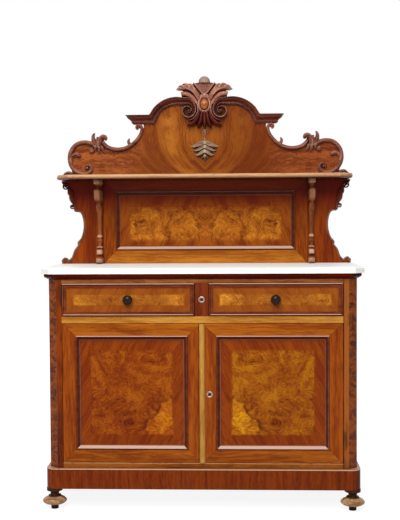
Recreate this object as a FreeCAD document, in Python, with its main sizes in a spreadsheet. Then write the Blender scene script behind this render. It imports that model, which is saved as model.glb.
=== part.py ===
import FreeCAD, Part
import Sketcher
import math
import os

Vector = FreeCAD.Vector

# Driving sizes in millimetres, one sheet cell each
SIZES = {
    # turned front feet, plain back feet and the plinth
    "foot_height": 88,
    "foot_peg_radius": 16,
    "foot_peg_height": 14,
    "foot_bun_radius": 50,
    "foot_bun_height": 35,
    "foot_collar_radius": 25,
    "foot_collar_height": 5,
    "foot_neck_radius": 18.5,
    "foot_cup_radius": 33,
    "foot_cup_height": 16,
    "foot_inset": 32,
    "back_foot_width": 60,
    "back_foot_toe_width": 46,
    "plinth_overhang": 13,
    "plinth_height": 84,
    "plinth_board": 24,
    "plinth_proud": 14,
    "plinth_corner_radius": 37,
    "plinth_block": 78,
    # the case
    "case_length": 1272,
    "case_depth": 475,
    "bottom_thick": 23,
    "post_width": 59,
    "post_cant": 36,
    "post_depth": 60,
    "side_thick": 20,
    "side_recess": 3,
    "rear_post_width": 45,
    "back_thick": 12,
    "back_joint": 1,
    "door_opening": 578,
    "middle_rail_height": 28,
    "rail_depth": 42,
    "drawer_opening": 137,
    "top_rail_height": 15,
    "muntin_width": 56,
    "runner_thick": 20,
    "runner_width": 60,
    "guide_height": 24,
    "inner_shelf_height": 270,
    "inner_shelf_thick": 18,
    "inner_shelf_setback": 70,
    "batten_thick": 20,
    "batten_height": 28,
    # cove moulding and marble
    "cove_height": 23.5,
    "cove_proud": 9,
    "cove_width": 32,
    "cove_lip": 6,
    "marble_overhang": 29,
    "marble_thick": 23.5,
    "marble_proud": 21,
    "marble_cant": 40,
    "marble_edge_radius": 5,
    # doors
    "door_gap": 2,
    "door_thick": 24,
    "door_stile": 54,
    "door_meeting_reach": 58,
    "door_bottom_rail": 53,
    "door_top_rail": 50,
    "panel_tongue": 8,
    "panel_setback": 9,
    "panel_thick": 10,
    "moulding_width": 18.5,
    "moulding_proud": 5,
    "strip_width": 24,
    "strip_proud": 9,
    "pivot_from_edge": 12,
    "pivot_from_face": 6,
    "pivot_radius": 2.5,
    "pivot_clearance": 0.05,
    "pivot_reach": 9,
    "pivot_plate_length": 38,
    "pivot_plate_width": 11,
    "pivot_plate_thick": 2.5,
    "pivot_plate_edge": 3,
    "pivot_bore_play": 0.7,
    # door lock
    "escutcheon_radius": 14,
    "escutcheon_hole_radius": 6.5,
    "escutcheon_proud": 3,
    "door_lock_height": 284,
    "door_lock_key_x": 31,
    "door_lock_length": 50,
    "door_lock_tall": 68,
    "door_lock_thick": 11,
    "bolt_thick": 6,
    "bolt_tall": 14,
    "bolt_play": 0.2,
    "door_bolt_throw": 9,
    # drawers
    "drawer_gap": 1.5,
    "drawer_front_thick": 20,
    "drawer_side_thick": 12,
    "drawer_side_height": 110,
    "drawer_side_inset": 9,
    "drawer_back_gap": 63,
    "drawer_bottom_thick": 7,
    "drawer_bottom_rise": 10,
    "drawer_groove": 5,
    "drawer_play": 0.3,
    "drawer_moulding_width": 18,
    "drawer_moulding_proud": 6,
    "knob_length": 36,
    "knob_radius": 19.5,
    "knob_neck_radius": 9,
    "knob_base_radius": 14,
    "knob_base_thick": 3,
    "knob_head_depth": 22,
    "knob_spigot_radius": 5,
    "knob_spigot_length": 14,
    # lock in the muntin between the drawers
    "drawer_lock_length": 44,
    "drawer_lock_tall": 50,
    "drawer_lock_thick": 12,
    "drawer_lock_setback": 8,
    "drawer_bolt_throw": 6,
    "drawer_bolt_inner": 4,
    # gallery on the marble
    "gallery_setback": 10,
    "gallery_height": 376,
    "gallery_thick": 24,
    "gallery_stile": 54,
    "gallery_bottom_rail": 60,
    "gallery_top_rail": 49,
    "gallery_moulding_width": 20,
    "wing_length": 194,
    "bracket_offset": 17,
    "bracket_thick": 24,
    "bracket_depth": 121,
    "shelf_setback": 15,
    "shelf_depth": 215,
    "shelf_thick": 22,
    "shelf_cant": 58,
    "shelf_edge_radius": 9,
    # crest on the shelf
    "crest_setback": 26,
    "crest_rise": 349,
    "crest_thick": 22,
    "end_scroll_radius": 73,
    "end_scroll_foot": 48,
    "end_curl_radius": 21,
    "hook_radius": 18,
    "hollow_radius": 109,
    "hollow_curl_radius": 15,
    "scroll_width": 14,
    "scroll_proud": 11,
    "leaf_proud": 16,
    "cornice_height": 41,
    "cornice_proud": 36,
    "ledge_run": 70,
    "arch_radius": 140,
    "neck_run": 43,
    "arch_centre_rise": 212,
    "arch_width": 37,
    "volute_clearance": 1,
    "volute_rise": 304,
    "volute_radius": 45,
    "volute_backing": 4,
    "volute_eye_radius": 11,
    "cartouche_half_length": 126,
    "cartouche_base_rise": 213,
    "cartouche_height": 205,
    "cartouche_leaf_proud": 18,
    "boss_half_length": 29,
    "boss_half_height": 44,
    "boss_rise": 320,
    "boss_proud": 32,
    "knop_radius": 26,
    "knop_half_height": 27,
    "cabochon_half_length": 18.5,
    "cabochon_half_height": 22.5,
    "cabochon_proud": 10,
    "cabochon_rise": 316,
    "pendant_half_length": 61.5,
    "pendant_height": 98,
    "pendant_rise": 67,
    "pendant_thick": 12,
}

doc = FreeCAD.newDocument("credenza")
sheet = doc.addObject("Spreadsheet::Sheet", "sizes")
for row, (alias, length) in enumerate(SIZES.items(), start=1):
    sheet.set(f"A{row}", alias)
    sheet.set(f"B{row}", str(length))
    sheet.setAlias(f"B{row}", alias)
doc.recompute()


class Size:
    """A length in millimetres together with the sheet formula that gives it."""

    def __init__(self, value, formula):
        self.value = value
        self.formula = formula

    def __add__(self, other):
        other = as_size(other)
        return Size(self.value + other.value, f"({self.formula} + {other.formula})")

    def __sub__(self, other):
        other = as_size(other)
        return Size(self.value - other.value, f"({self.formula} - {other.formula})")

    def __mul__(self, other):
        other = as_size(other)
        return Size(self.value * other.value, f"({self.formula} * {other.formula})")

    def __truediv__(self, other):
        other = as_size(other)
        return Size(self.value / other.value, f"({self.formula} / {other.formula})")

    def __neg__(self):
        return Size(-self.value, f"(-{self.formula})")

    __radd__ = __add__
    __rmul__ = __mul__


def as_size(length):
    return length if isinstance(length, Size) else Size(length, str(length))


class Cells:
    """The sheet's cells, read by their names."""

    def __getattr__(self, alias):
        return Size(float(sheet.get(alias)), f"sizes.{alias}")


size = Cells()
nodes = []


def keep(piece):
    """Mark a finished piece as one of the part's nodes."""
    nodes.append(piece)
    return piece


def bind(piece, name, length):
    piece.setExpression(name, as_size(length).formula)


def box(name, x, y, z):
    """A square-edged board, given by where it starts and ends along each axis."""
    board = doc.addObject("Part::Box", name)
    for side, axis, (start, end) in zip(("Length", "Width", "Height"), "xyz", (x, y, z)):
        bind(board, side, as_size(end) - start)
        bind(board, f"Placement.Base.{axis}", start)
    return board


def cylinder(name, radius, x, y, z):
    """An upright pin or bore from z start to z end."""
    pin = doc.addObject("Part::Cylinder", name)
    start, end = z
    bind(pin, "Radius", radius)
    bind(pin, "Height", end - start)
    for axis, place in zip("xyz", (x, y, start)):
        bind(pin, f"Placement.Base.{axis}", place)
    return pin


def mirror(name, source):
    """The same piece on the other side of the middle."""
    twin = doc.addObject("Part::Mirroring", name)
    twin.Source = source
    twin.Normal = Vector(1, 0, 0)
    return twin


def group(name, pieces):
    """Separate solids kept under one name."""
    pieces_together = doc.addObject("Part::Compound", name)
    pieces_together.Links = pieces
    return pieces_together


def fuse(name, pieces):
    """Forms joined into one."""
    joined = doc.addObject("Part::MultiFuse", name)
    joined.Shapes = pieces
    return joined


def cut(name, base, tools):
    """A piece with the seats of other pieces cut out of it."""
    result = doc.addObject("Part::Cut", name)
    result.Base = base
    result.Tool = tools[0] if len(tools) == 1 else fuse(f"{name}_seats", tools)
    return result


def flat(place):
    return Vector(as_size(place[0]).value, as_size(place[1]).value, 0)


def pin_point(sketch, edge, end, place):
    """Tie one end of an edge, or its centre, to the sheet."""
    for axis, own_axis, length in zip("XY", (-2, -1), place):
        if length is None:
            continue
        if isinstance(length, Size):
            constraint = Sketcher.Constraint(f"Distance{axis}", -1, 1, edge, end, length.value)
            index = sketch.addConstraint(constraint)
            sketch.setExpression(f"Constraints[{index}]", length.formula)
        else:
            sketch.addConstraint(Sketcher.Constraint("PointOnObject", edge, end, own_axis))


def draw(sketch, corners, closed=True):
    """Draw an outline: a corner is (x, y), or (x, y, centre x, centre y) where an arc ends."""
    edges = []
    starts = corners[-1:] + corners[:-1] if closed else corners[:-1]
    ends = corners if closed else corners[1:]
    for start, end in zip(starts, ends):
        first, last = flat(start), flat(end)
        if len(end) == 2:
            edge = sketch.addGeometry(Part.LineSegment(first, last))
            edges.append((edge, 1, 2, start, end))
            continue
        centre = flat(end[2:])
        turn = (first - centre).cross(last - centre).z
        low, high = (first, last) if turn > 0 else (last, first)
        circle = Part.Circle(centre, Vector(0, 0, 1), (first - centre).Length)
        arc = Part.ArcOfCircle(circle, circle.parameter(low), circle.parameter(high))
        edge = sketch.addGeometry(arc)
        edges.append((edge, 1, 2, start, end) if turn > 0 else (edge, 2, 1, start, end))
    followers = edges[1:] + edges[:1] if closed else edges[1:]
    for before, after in zip(edges, followers):
        sketch.addConstraint(Sketcher.Constraint("Coincident", before[0], before[2], after[0], after[1]))
    for edge, first_end, last_end, start, end in edges:
        pin_point(sketch, edge, first_end, start[:2])
        if len(end) > 2:
            chord = flat(end) - flat(start)
            centre = (None, end[3]) if abs(chord.x) > abs(chord.y) else (end[2], None)
            pin_point(sketch, edge, 3, centre)
    if not closed:
        pin_point(sketch, edges[-1][0], edges[-1][2], corners[-1][:2])


PLANES = {"X": "YZ_Plane", "Y": "XZ_Plane", "Z": "XY_Plane"}


def body_with_outline(name, across, corners):
    body = doc.addObject("PartDesign::Body", name)
    plane = next(item for item in body.Origin.OriginFeatures if item.Role == PLANES[across])
    sketch = body.newObject("Sketcher::SketchObject", f"{name}_outline")
    sketch.AttachmentSupport = [(plane, "")]
    sketch.MapMode = "FlatFace"
    draw(sketch, corners)
    return body, sketch


def prism(name, across, corners, start, end):
    """A piece sawn to an outline, with its thickness from start to end across it."""
    body, sketch = body_with_outline(name, across, corners)
    pad = body.newObject("PartDesign::Pad", f"{name}_pad")
    pad.Profile = sketch
    bind(pad, "Length", end - start)
    # a pad on the upright XZ plane grows towards the front
    bind(body, f"Placement.Base.{across.lower()}", end if across == "Y" else start)
    return body


def rounded(body, radius, wanted):
    """Round over the edges of a body's last feature that pass the test."""
    doc.recompute()
    last = body.Tip
    chosen = []
    for index, edge in enumerate(last.Shape.Edges, start=1):
        if wanted(edge.BoundBox):
            chosen.append(f"Edge{index}")
    fillet = body.newObject("PartDesign::Fillet", f"{last.Name}_rounding")
    fillet.Base = (last, chosen)
    bind(fillet, "Radius", radius)
    return body


def turned(name, across, corners, place):
    """A piece turned on the lathe: corners are (radius, height) round the sketch's own height."""
    body, sketch = body_with_outline(name, across, corners)
    turning = body.newObject("PartDesign::Revolution", f"{name}_turning")
    turning.Profile = sketch
    turning.ReferenceAxis = (sketch, ["V_Axis"])
    turning.Angle = 360
    for axis, length in zip("xyz", place):
        bind(body, f"Placement.Base.{axis}", length)
    return body


def placed_sketch(name, corners, place, x_way, y_way, closed=True):
    sketch = doc.addObject("Sketcher::SketchObject", name)
    draw(sketch, corners, closed)
    turn = FreeCAD.Rotation(x_way, y_way, x_way.cross(y_way), "XYZ")
    sketch.Placement = FreeCAD.Placement(Vector(), turn)
    for axis, length in zip("xyz", place):
        bind(sketch, f"Placement.Base.{axis}", length)
    return sketch


def run(name, path, profile):
    """A moulding run along a path with mitred corners."""
    sweep = doc.addObject("Part::Sweep", name)
    sweep.Sections = [profile]
    sweep.Spine = (path, [])
    sweep.Solid = True
    sweep.Frenet = False
    sweep.Transition = "Right corner"
    return sweep


def ring_moulding(name, x, z, seat, profile):
    """A moulding mitred round an upright rectangle; its profile is (inward, towards the front)."""
    (left, right), (low, high) = x, z
    corners = [(left, low), (right, low), (right, high), (left, high)]
    up, right_way, front = Vector(0, 0, 1), Vector(1, 0, 0), Vector(0, -1, 0)
    path = placed_sketch(f"{name}_path", corners, (0, seat, 0), right_way, up)
    section = placed_sketch(f"{name}_section", profile, ((left + right) / 2, seat, low), up, front)
    return run(name, path, section)


def ogee(width, back, front):
    """An ogee section: a square outer edge, a round nose and a hollow down to the panel."""
    nose = width * OGEE_NOSE_SHARE
    foot = width * OGEE_FOOT_SHARE
    rise = back + front
    return [
        (0, 0),
        (0, rise - nose),
        (nose, rise, nose, rise - nose),
        (nose * 2, rise - nose, nose, rise - nose),
        (width - foot, foot),
        (width, foot),
        (width, 0),
    ]


def mitred_frame(name, x, z, members, y, tools):
    """Two stiles and two rails mitred at the corners, with the seats of other pieces cut out."""
    (left, right), (low, high) = x, z
    left_stile, right_stile, bottom_rail, top_rail = members
    outer = [(left, low), (right, low), (right, high), (left, high)]
    inner = [
        (left + left_stile, low + bottom_rail),
        (right - right_stile, low + bottom_rail),
        (right - right_stile, high - top_rail),
        (left + left_stile, high - top_rail),
    ]
    strips = []
    for index, side in enumerate(("bottom_rail", "right_stile", "top_rail", "left_stile")):
        after = (index + 1) % len(outer)
        corners = [outer[index], outer[after], inner[after], inner[index]]
        strips.append(prism(f"{name}_{side}", "Y", corners, *y))
    return cut(name, group(f"{name}_strips", strips), tools)


def feature(name, shape):
    """A carved piece whose shape is worked out below from the sheet's sizes."""
    piece = doc.addObject("Part::Feature", name)
    piece.Shape = shape
    return piece


def loft(sections):
    """One solid through closed sections with the same number of points."""
    wires = [Part.makePolygon(points + points[:1]) for points in sections]
    return Part.makeLoft(wires, True, True)


def both_sides(name, shapes):
    """Carved shapes and their twins on the other side of the middle, kept under one name."""
    twins = [shape.mirror(Vector(), Vector(1, 0, 0)) for shape in shapes]
    return feature(name, Part.makeCompound(shapes + twins))


# Shares of a moulding's width, and how near two places count as one
OGEE_NOSE_SHARE = 0.2
OGEE_FOOT_SHARE = 0.16
EDGE_NEARNESS = 0.001

# Levels, from the floor up
plinth_top = size.foot_height + size.plinth_height
floor_top = plinth_top + size.bottom_thick
rail_base = floor_top + size.door_opening
rail_top = rail_base + size.middle_rail_height
drawer_top = rail_top + size.drawer_opening
case_top = drawer_top + size.top_rail_height
marble_base = case_top + size.cove_height
marble_face = marble_base + size.marble_thick
shelf_base = marble_face + size.gallery_height
crest_base = shelf_base + size.shelf_thick

# Depths: the knobs reach furthest forward, and the origin is midway between them and the back
face = (size.knob_length - size.case_depth) / 2
back = face + size.case_depth
back_inside = back - size.back_thick
plinth_front = face - size.plinth_proud
rail_back = face + size.rail_depth

# Widths, from the middle outwards
case_half = size.case_length / 2
opening_half = case_half - size.post_width
plinth_half = case_half + size.plinth_overhang
marble_half = case_half + size.marble_overhang
gallery_end = marble_half - size.gallery_setback
gallery_half = gallery_end - size.wing_length
shelf_half = marble_half - size.shelf_setback
crest_half = shelf_half - size.crest_setback
muntin_half = size.muntin_width / 2

# Turned front feet under the plinth's corner blocks
bun_rim = size.foot_bun_radius - size.foot_bun_height / 2
bun_middle = size.foot_peg_height + size.foot_bun_height / 2
bun_top = size.foot_peg_height + size.foot_bun_height
collar_top = bun_top + size.foot_collar_height
hollow = size.foot_cup_radius - size.foot_neck_radius
cup_base = size.foot_height - size.foot_cup_height
foot_profile = [
    (0, 0),
    (size.foot_peg_radius, 0),
    (size.foot_peg_radius, size.foot_peg_height),
    (bun_rim, size.foot_peg_height),
    (size.foot_bun_radius, bun_middle, bun_rim, bun_middle),
    (bun_rim, bun_top, bun_rim, bun_middle),
    (size.foot_collar_radius, bun_top),
    (size.foot_collar_radius, collar_top),
    (size.foot_neck_radius, collar_top),
    (size.foot_neck_radius, cup_base - hollow),
    (size.foot_cup_radius, cup_base, size.foot_cup_radius, cup_base - hollow),
    (size.foot_cup_radius, size.foot_height),
    (0, size.foot_height),
]
foot_x = plinth_half - size.foot_inset
foot_y = plinth_front + size.foot_inset
right_foot = turned("right_foot", "Y", foot_profile, (foot_x, foot_y, 0))
keep(group("front_feet", [right_foot, mirror("left_foot", right_foot)]))

# Plain tapered back feet, out of sight
back_foot_inner = plinth_half - size.back_foot_width
back_foot_profile = [
    (plinth_half - size.back_foot_toe_width, 0),
    (plinth_half, 0),
    (plinth_half, size.foot_height),
    (back_foot_inner, size.foot_height),
]
right_back_foot = prism("right_back_foot", "Y", back_foot_profile, back - size.back_foot_width, back)
keep(group("back_feet", [right_back_foot, mirror("left_back_foot", right_back_foot)]))

# Plinth: four boards, and blocks with rounded corners over the front feet
plinth_z = (size.foot_height, plinth_top)
block_inner = plinth_half - size.plinth_block
block_back = plinth_front + size.plinth_block
round_x = plinth_half - size.plinth_corner_radius
round_y = plinth_front + size.plinth_corner_radius
block_outline = [
    (block_inner, plinth_front),
    (round_x, plinth_front),
    (plinth_half, round_y, round_x, round_y),
    (plinth_half, block_back),
    (block_inner, block_back),
]
right_block = prism("right_plinth_block", "Z", block_outline, *plinth_z)
keep(group("plinth_corner_blocks", [right_block, mirror("left_plinth_block", right_block)]))
plinth_back_face = back - size.plinth_board
plinth_side_x = (plinth_half - size.plinth_board, plinth_half)
right_plinth_side = box("right_plinth_side", plinth_side_x, (block_back, plinth_back_face), plinth_z)
plinth_front_y = (plinth_front, plinth_front + size.plinth_board)
plinth_boards = [
    box("plinth_front_board", (-block_inner, block_inner), plinth_front_y, plinth_z),
    right_plinth_side,
    mirror("left_plinth_side", right_plinth_side),
    box("plinth_back_board", (-plinth_half, plinth_half), (plinth_back_face, back), plinth_z),
]
keep(group("plinth_frame", plinth_boards))

# Pivot hinges: a pin on a let-in plate above and below each door, and a let-in socket plate in the door
pivot_x = opening_half - size.door_gap - size.pivot_from_edge
pivot_y = face + size.pivot_from_face
plate_end = opening_half - size.door_gap - size.pivot_plate_edge
plate_x = (plate_end - size.pivot_plate_length, plate_end)
plate_y = (pivot_y - size.pivot_plate_width / 2, pivot_y + size.pivot_plate_width / 2)
door_low = floor_top + size.door_gap
door_high = rail_base - size.door_gap
low_plate = box("low_pin_plate", plate_x, plate_y, (floor_top - size.pivot_plate_thick, floor_top))
high_plate = box("high_pin_plate", plate_x, plate_y, (rail_base, rail_base + size.pivot_plate_thick))
low_pin_z = (floor_top, door_low + size.pivot_reach)
high_pin_z = (door_high - size.pivot_reach, rail_base)
low_pin = cylinder("low_pin", size.pivot_radius, pivot_x, pivot_y, low_pin_z)
high_pin = cylinder("high_pin", size.pivot_radius, pivot_x, pivot_y, high_pin_z)
pins = []
for name, plate, pin in (("low_pivot", low_plate, low_pin), ("high_pivot", high_plate, high_pin)):
    pivot = fuse(name, [plate, pin])
    pins += [pivot, mirror(f"left_{name}", pivot)]
pivot_pins = keep(group("door_pivot_pins", pins))

# Bottom board, cut to the canted corners and let in for the lower pivots
canted_case = [
    (-case_half, face + size.post_cant),
    (-case_half + size.post_cant, face),
    (case_half - size.post_cant, face),
    (case_half, face + size.post_cant),
    (case_half, back_inside),
    (-case_half, back_inside),
]
bottom_blank = prism("bottom_blank", "Z", canted_case, plinth_top, floor_top)
keep(cut("bottom_board", bottom_blank, [pivot_pins]))

# Canted front posts, rear posts and the side panels between them
post_z = (floor_top, case_top)
post_back = face + size.post_depth
post_outline = [
    (opening_half, face),
    (case_half - size.post_cant, face),
    (case_half, face + size.post_cant),
    (case_half, post_back),
    (opening_half, post_back),
]
right_post = prism("right_corner_post", "Z", post_outline, *post_z)
keep(group("corner_posts", [right_post, mirror("left_corner_post", right_post)]))
rear_post_front = back_inside - size.rear_post_width
rear_post_x = (case_half - size.rear_post_width, case_half)
right_rear_post = box("right_rear_post", rear_post_x, (rear_post_front, back_inside), post_z)
keep(group("rear_posts", [right_rear_post, mirror("left_rear_post", right_rear_post)]))
side_outer = case_half - size.side_recess
side_inner = side_outer - size.side_thick
right_side = box("right_side_panel", (side_inner, side_outer), (post_back, rear_post_front), post_z)
keep(group("side_panels", [right_side, mirror("left_side_panel", right_side)]))

# Back of four upright boards
BACK_BOARD_COUNT = 4
back_board_width = (size.case_length - size.back_joint * (BACK_BOARD_COUNT - 1)) / BACK_BOARD_COUNT
boards = []
for index in range(BACK_BOARD_COUNT):
    left = -case_half + (back_board_width + size.back_joint) * index
    board_x = (left, left + back_board_width)
    boards.append(box(f"back_board_{index}", board_x, (back_inside, back), (plinth_top, case_top)))
keep(group("back_boards", boards))

# Rails across the front, and the runners and guides that carry the drawers
rail_x = (-opening_half, opening_half)
rail_y = (face, rail_back)
middle_rail_blank = box("middle_rail_blank", rail_x, rail_y, (rail_base, rail_top))
keep(cut("middle_rail", middle_rail_blank, [pivot_pins]))
keep(box("top_rail", rail_x, rail_y, (drawer_top, case_top)))
runner_y = (rail_back, back_inside)
runner_z = (rail_top - size.runner_thick, rail_top)
guide_y = (post_back, back_inside)
guide_z = (rail_top, rail_top + size.guide_height)
right_runner = box("right_runner", (opening_half - size.runner_width, opening_half), runner_y, runner_z)
drawer_inner = muntin_half + size.drawer_gap
drawer_outer = opening_half - size.drawer_gap
guide_inner = drawer_outer - size.drawer_side_inset + size.drawer_play
right_guide = box("right_guide", (guide_inner, opening_half), guide_y, guide_z)
centre_half = drawer_inner + size.drawer_side_inset - size.drawer_play
centre_runner_half = centre_half + size.runner_width / 2
runners = [
    right_runner,
    mirror("left_runner", right_runner),
    box("centre_runner", (-centre_runner_half, centre_runner_half), runner_y, runner_z),
    right_guide,
    mirror("left_guide", right_guide),
    box("centre_guide", (-centre_half, centre_half), guide_y, guide_z),
]
keep(group("drawer_runners", runners))

# Shelf inside the cupboard, on battens along the side panels
inner_shelf_base = floor_top + size.inner_shelf_height
inner_shelf_front = face + size.inner_shelf_setback
right_batten = box(
    "right_shelf_batten",
    (side_inner - size.batten_thick, side_inner),
    (inner_shelf_front, rear_post_front),
    (inner_shelf_base - size.batten_height, inner_shelf_base),
)
keep(group("shelf_battens", [right_batten, mirror("left_shelf_batten", right_batten)]))
shelf_reach = case_half - size.rear_post_width
inner_shelf_z = (inner_shelf_base, inner_shelf_base + size.inner_shelf_thick)
inner_shelf_outline = [
    (-side_inner, inner_shelf_front),
    (side_inner, inner_shelf_front),
    (side_inner, rear_post_front),
    (shelf_reach, rear_post_front),
    (shelf_reach, back_inside),
    (-shelf_reach, back_inside),
    (-shelf_reach, rear_post_front),
    (-side_inner, rear_post_front),
]
keep(prism("inner_shelf", "Z", inner_shelf_outline, *inner_shelf_z))

# Cove moulding round the front and sides, the board behind it, and the marble over both
cove_inner = size.cove_width - size.cove_proud
cove_path = [
    (-case_half, back),
    (-case_half, face + size.post_cant),
    (-case_half + size.post_cant, face),
    (case_half - size.post_cant, face),
    (case_half, face + size.post_cant),
    (case_half, back),
]
cove_section = [
    (-cove_inner, 0),
    (0, 0),
    (size.cove_proud, size.cove_height - size.cove_lip, size.cove_proud, 0),
    (size.cove_proud, size.cove_height),
    (-cove_inner, size.cove_height),
]
right_way, back_way, up_way = Vector(1, 0, 0), Vector(0, 1, 0), Vector(0, 0, 1)
path = placed_sketch("cove_path", cove_path, (0, 0, case_top), right_way, back_way, closed=False)
section = placed_sketch("cove_section", cove_section, (-case_half, back, case_top), -right_way, up_way)
keep(run("top_moulding", path, section))
# a line set in from both sides of a half square corner turns this share of the set-in further along
MITRE_SHARE = math.sqrt(2) - 1
top_half = case_half - cove_inner
top_front = face + cove_inner
top_cant_y = face + size.post_cant + cove_inner * MITRE_SHARE
top_cant_x = case_half - size.post_cant - cove_inner * MITRE_SHARE
top_outline = [
    (-top_half, top_cant_y),
    (-top_cant_x, top_front),
    (top_cant_x, top_front),
    (top_half, top_cant_y),
    (top_half, back),
    (-top_half, back),
]
keep(prism("carcass_top", "Z", top_outline, case_top, marble_base))
marble_front = face - size.marble_proud
marble_outline = [
    (-marble_half, marble_front + size.marble_cant),
    (-marble_half + size.marble_cant, marble_front),
    (marble_half - size.marble_cant, marble_front),
    (marble_half, marble_front + size.marble_cant),
    (marble_half, back),
    (-marble_half, back),
]
marble = prism("marble_top", "Z", marble_outline, marble_base, marble_face)


def shown_edge(edge, level):
    """Whether an edge lies at a level above its board's underside and is not the one against the wall."""
    at_level = abs(edge.ZMin - level.value) < EDGE_NEARNESS and edge.ZLength < EDGE_NEARNESS
    return at_level and edge.YMin < back.value - EDGE_NEARNESS


keep(rounded(marble, size.marble_edge_radius, lambda edge: shown_edge(edge, size.marble_thick)))

# Lock in the muntin: one key throws a bolt into the drawer on either side
lock_middle = (rail_top + drawer_top) / 2
lock_y = (face + size.drawer_lock_setback, face + size.drawer_lock_setback + size.drawer_lock_thick)
lock_half = size.drawer_lock_length / 2
lock_z = (lock_middle - size.drawer_lock_tall / 2, lock_middle + size.drawer_lock_tall / 2)
bolt_y = (
    (lock_y[0] + lock_y[1] - size.bolt_thick) / 2,
    (lock_y[0] + lock_y[1] + size.bolt_thick) / 2,
)
bolt_z = (lock_middle - size.bolt_tall / 2, lock_middle + size.bolt_tall / 2)
channel_y = (bolt_y[0] - size.bolt_play, bolt_y[1] + size.bolt_play)
channel_z = (bolt_z[0] - size.bolt_play, bolt_z[1] + size.bolt_play)
bolt_reach = muntin_half + size.drawer_bolt_throw + size.drawer_gap
bolt_channel = box("bolt_channel", (-bolt_reach, bolt_reach), channel_y, channel_z)
lock_blank = box("drawer_lock_blank", (-lock_half, lock_half), lock_y, lock_z)
keep(cut("drawer_lock_case", lock_blank, [bolt_channel]))
lock_mortise = box("drawer_lock_mortise", (-lock_half, lock_half), (lock_y[0], rail_back), lock_z)


def escutcheon(name, x, z):
    """A turned ring round a keyhole, standing on the face."""
    profile = [
        (size.escutcheon_hole_radius, 0),
        (size.escutcheon_radius, 0),
        (size.escutcheon_radius, -size.escutcheon_proud / 2),
        (size.escutcheon_radius - size.escutcheon_proud, -size.escutcheon_proud),
        (size.escutcheon_hole_radius, -size.escutcheon_proud),
    ]
    return turned(name, "Z", profile, (x, face, z))


def keyhole(name, x, z, depth):
    """The round hole behind an escutcheon."""
    hole = cylinder(name, size.escutcheon_hole_radius, x, face, (z, z + depth))
    hole.Placement.Rotation = FreeCAD.Rotation(Vector(1, 0, 0), -90)
    return hole


keep(escutcheon("drawer_lock_escutcheon", 0, lock_middle))
muntin_keyhole = keyhole("drawer_keyhole", 0, lock_middle, size.drawer_lock_setback)
muntin_blank = box("muntin_blank", (-muntin_half, muntin_half), (face, rail_back), (rail_top, drawer_top))
keep(cut("drawer_muntin", muntin_blank, [lock_mortise, bolt_channel, muntin_keyhole]))
right_bolt = keep(box("right_drawer_lock_bolt", (size.drawer_bolt_inner, muntin_half), bolt_y, bolt_z))
keep(mirror("left_drawer_lock_bolt", right_bolt))

# Drawers: a veneered front with a moulded edge, sides and back, a bottom in grooves and a turned knob
front_back = face + size.drawer_front_thick
drawer_low = rail_top + size.drawer_gap
drawer_high = drawer_top - size.drawer_gap
drawer_back = back_inside - size.drawer_back_gap
side_low = rail_top + size.drawer_play
side_high = side_low + size.drawer_side_height
side_a = drawer_inner + size.drawer_side_inset
side_b = drawer_outer - size.drawer_side_inset
side_y = (front_back, drawer_back)
side_z = (side_low, side_high)
inside = (side_a + size.drawer_side_thick, side_b - size.drawer_side_thick)
drawer_floor = side_low + size.drawer_bottom_rise
drawer_floor_top = drawer_floor + size.drawer_bottom_thick
bottom = box(
    "right_drawer_bottom",
    (inside[0] - size.drawer_groove, inside[1] + size.drawer_groove),
    (front_back - size.drawer_groove, drawer_back),
    (drawer_floor, drawer_floor_top),
)
back_wall_y = (drawer_back - size.drawer_side_thick, drawer_back)
drawer_walls = [
    box("drawer_inner_side", (side_a, inside[0]), side_y, side_z),
    box("drawer_outer_side", (inside[1], side_b), side_y, side_z),
    box("drawer_back_wall", inside, back_wall_y, (drawer_floor_top, side_high)),
]
drawer_box = cut("right_drawer_box", group("drawer_walls", drawer_walls), [bottom])
knob_x = (drawer_inner + drawer_outer) / 2
knob_base = -size.knob_base_thick
knob_shoulder = size.knob_head_depth - size.knob_length
knob_widest = (knob_shoulder - size.knob_length) / 2
knob_front_radius = size.knob_radius - size.knob_head_depth / 2
knob_profile = [
    (0, size.knob_spigot_length),
    (size.knob_spigot_radius, size.knob_spigot_length),
    (size.knob_spigot_radius, 0),
    (size.knob_base_radius, 0),
    (size.knob_base_radius, knob_base),
    (size.knob_neck_radius, knob_base - size.knob_base_thick),
    (size.knob_neck_radius, knob_shoulder),
    (size.knob_radius, knob_widest, knob_front_radius, knob_widest),
    (knob_front_radius, -size.knob_length, knob_front_radius, knob_widest),
    (0, -size.knob_length),
]
knob = turned("right_drawer_knob", "Z", knob_profile, (knob_x, face, lock_middle))
drawer_x = (drawer_inner, drawer_outer)
drawer_z = (drawer_low, drawer_high)
front_blank = box("drawer_front_blank", drawer_x, (face, front_back), drawer_z)
drawer_front = cut("right_drawer_front", front_blank, [bottom, knob, bolt_channel])
drawer_profile = ogee(size.drawer_moulding_width, as_size(0), size.drawer_moulding_proud)
drawer_moulding = ring_moulding("right_drawer_moulding", drawer_x, drawer_z, face, drawer_profile)
for piece in (drawer_front, drawer_box, bottom, drawer_moulding, knob):
    keep(piece)
    keep(mirror(piece.Name.replace("right", "left"), piece))

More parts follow.
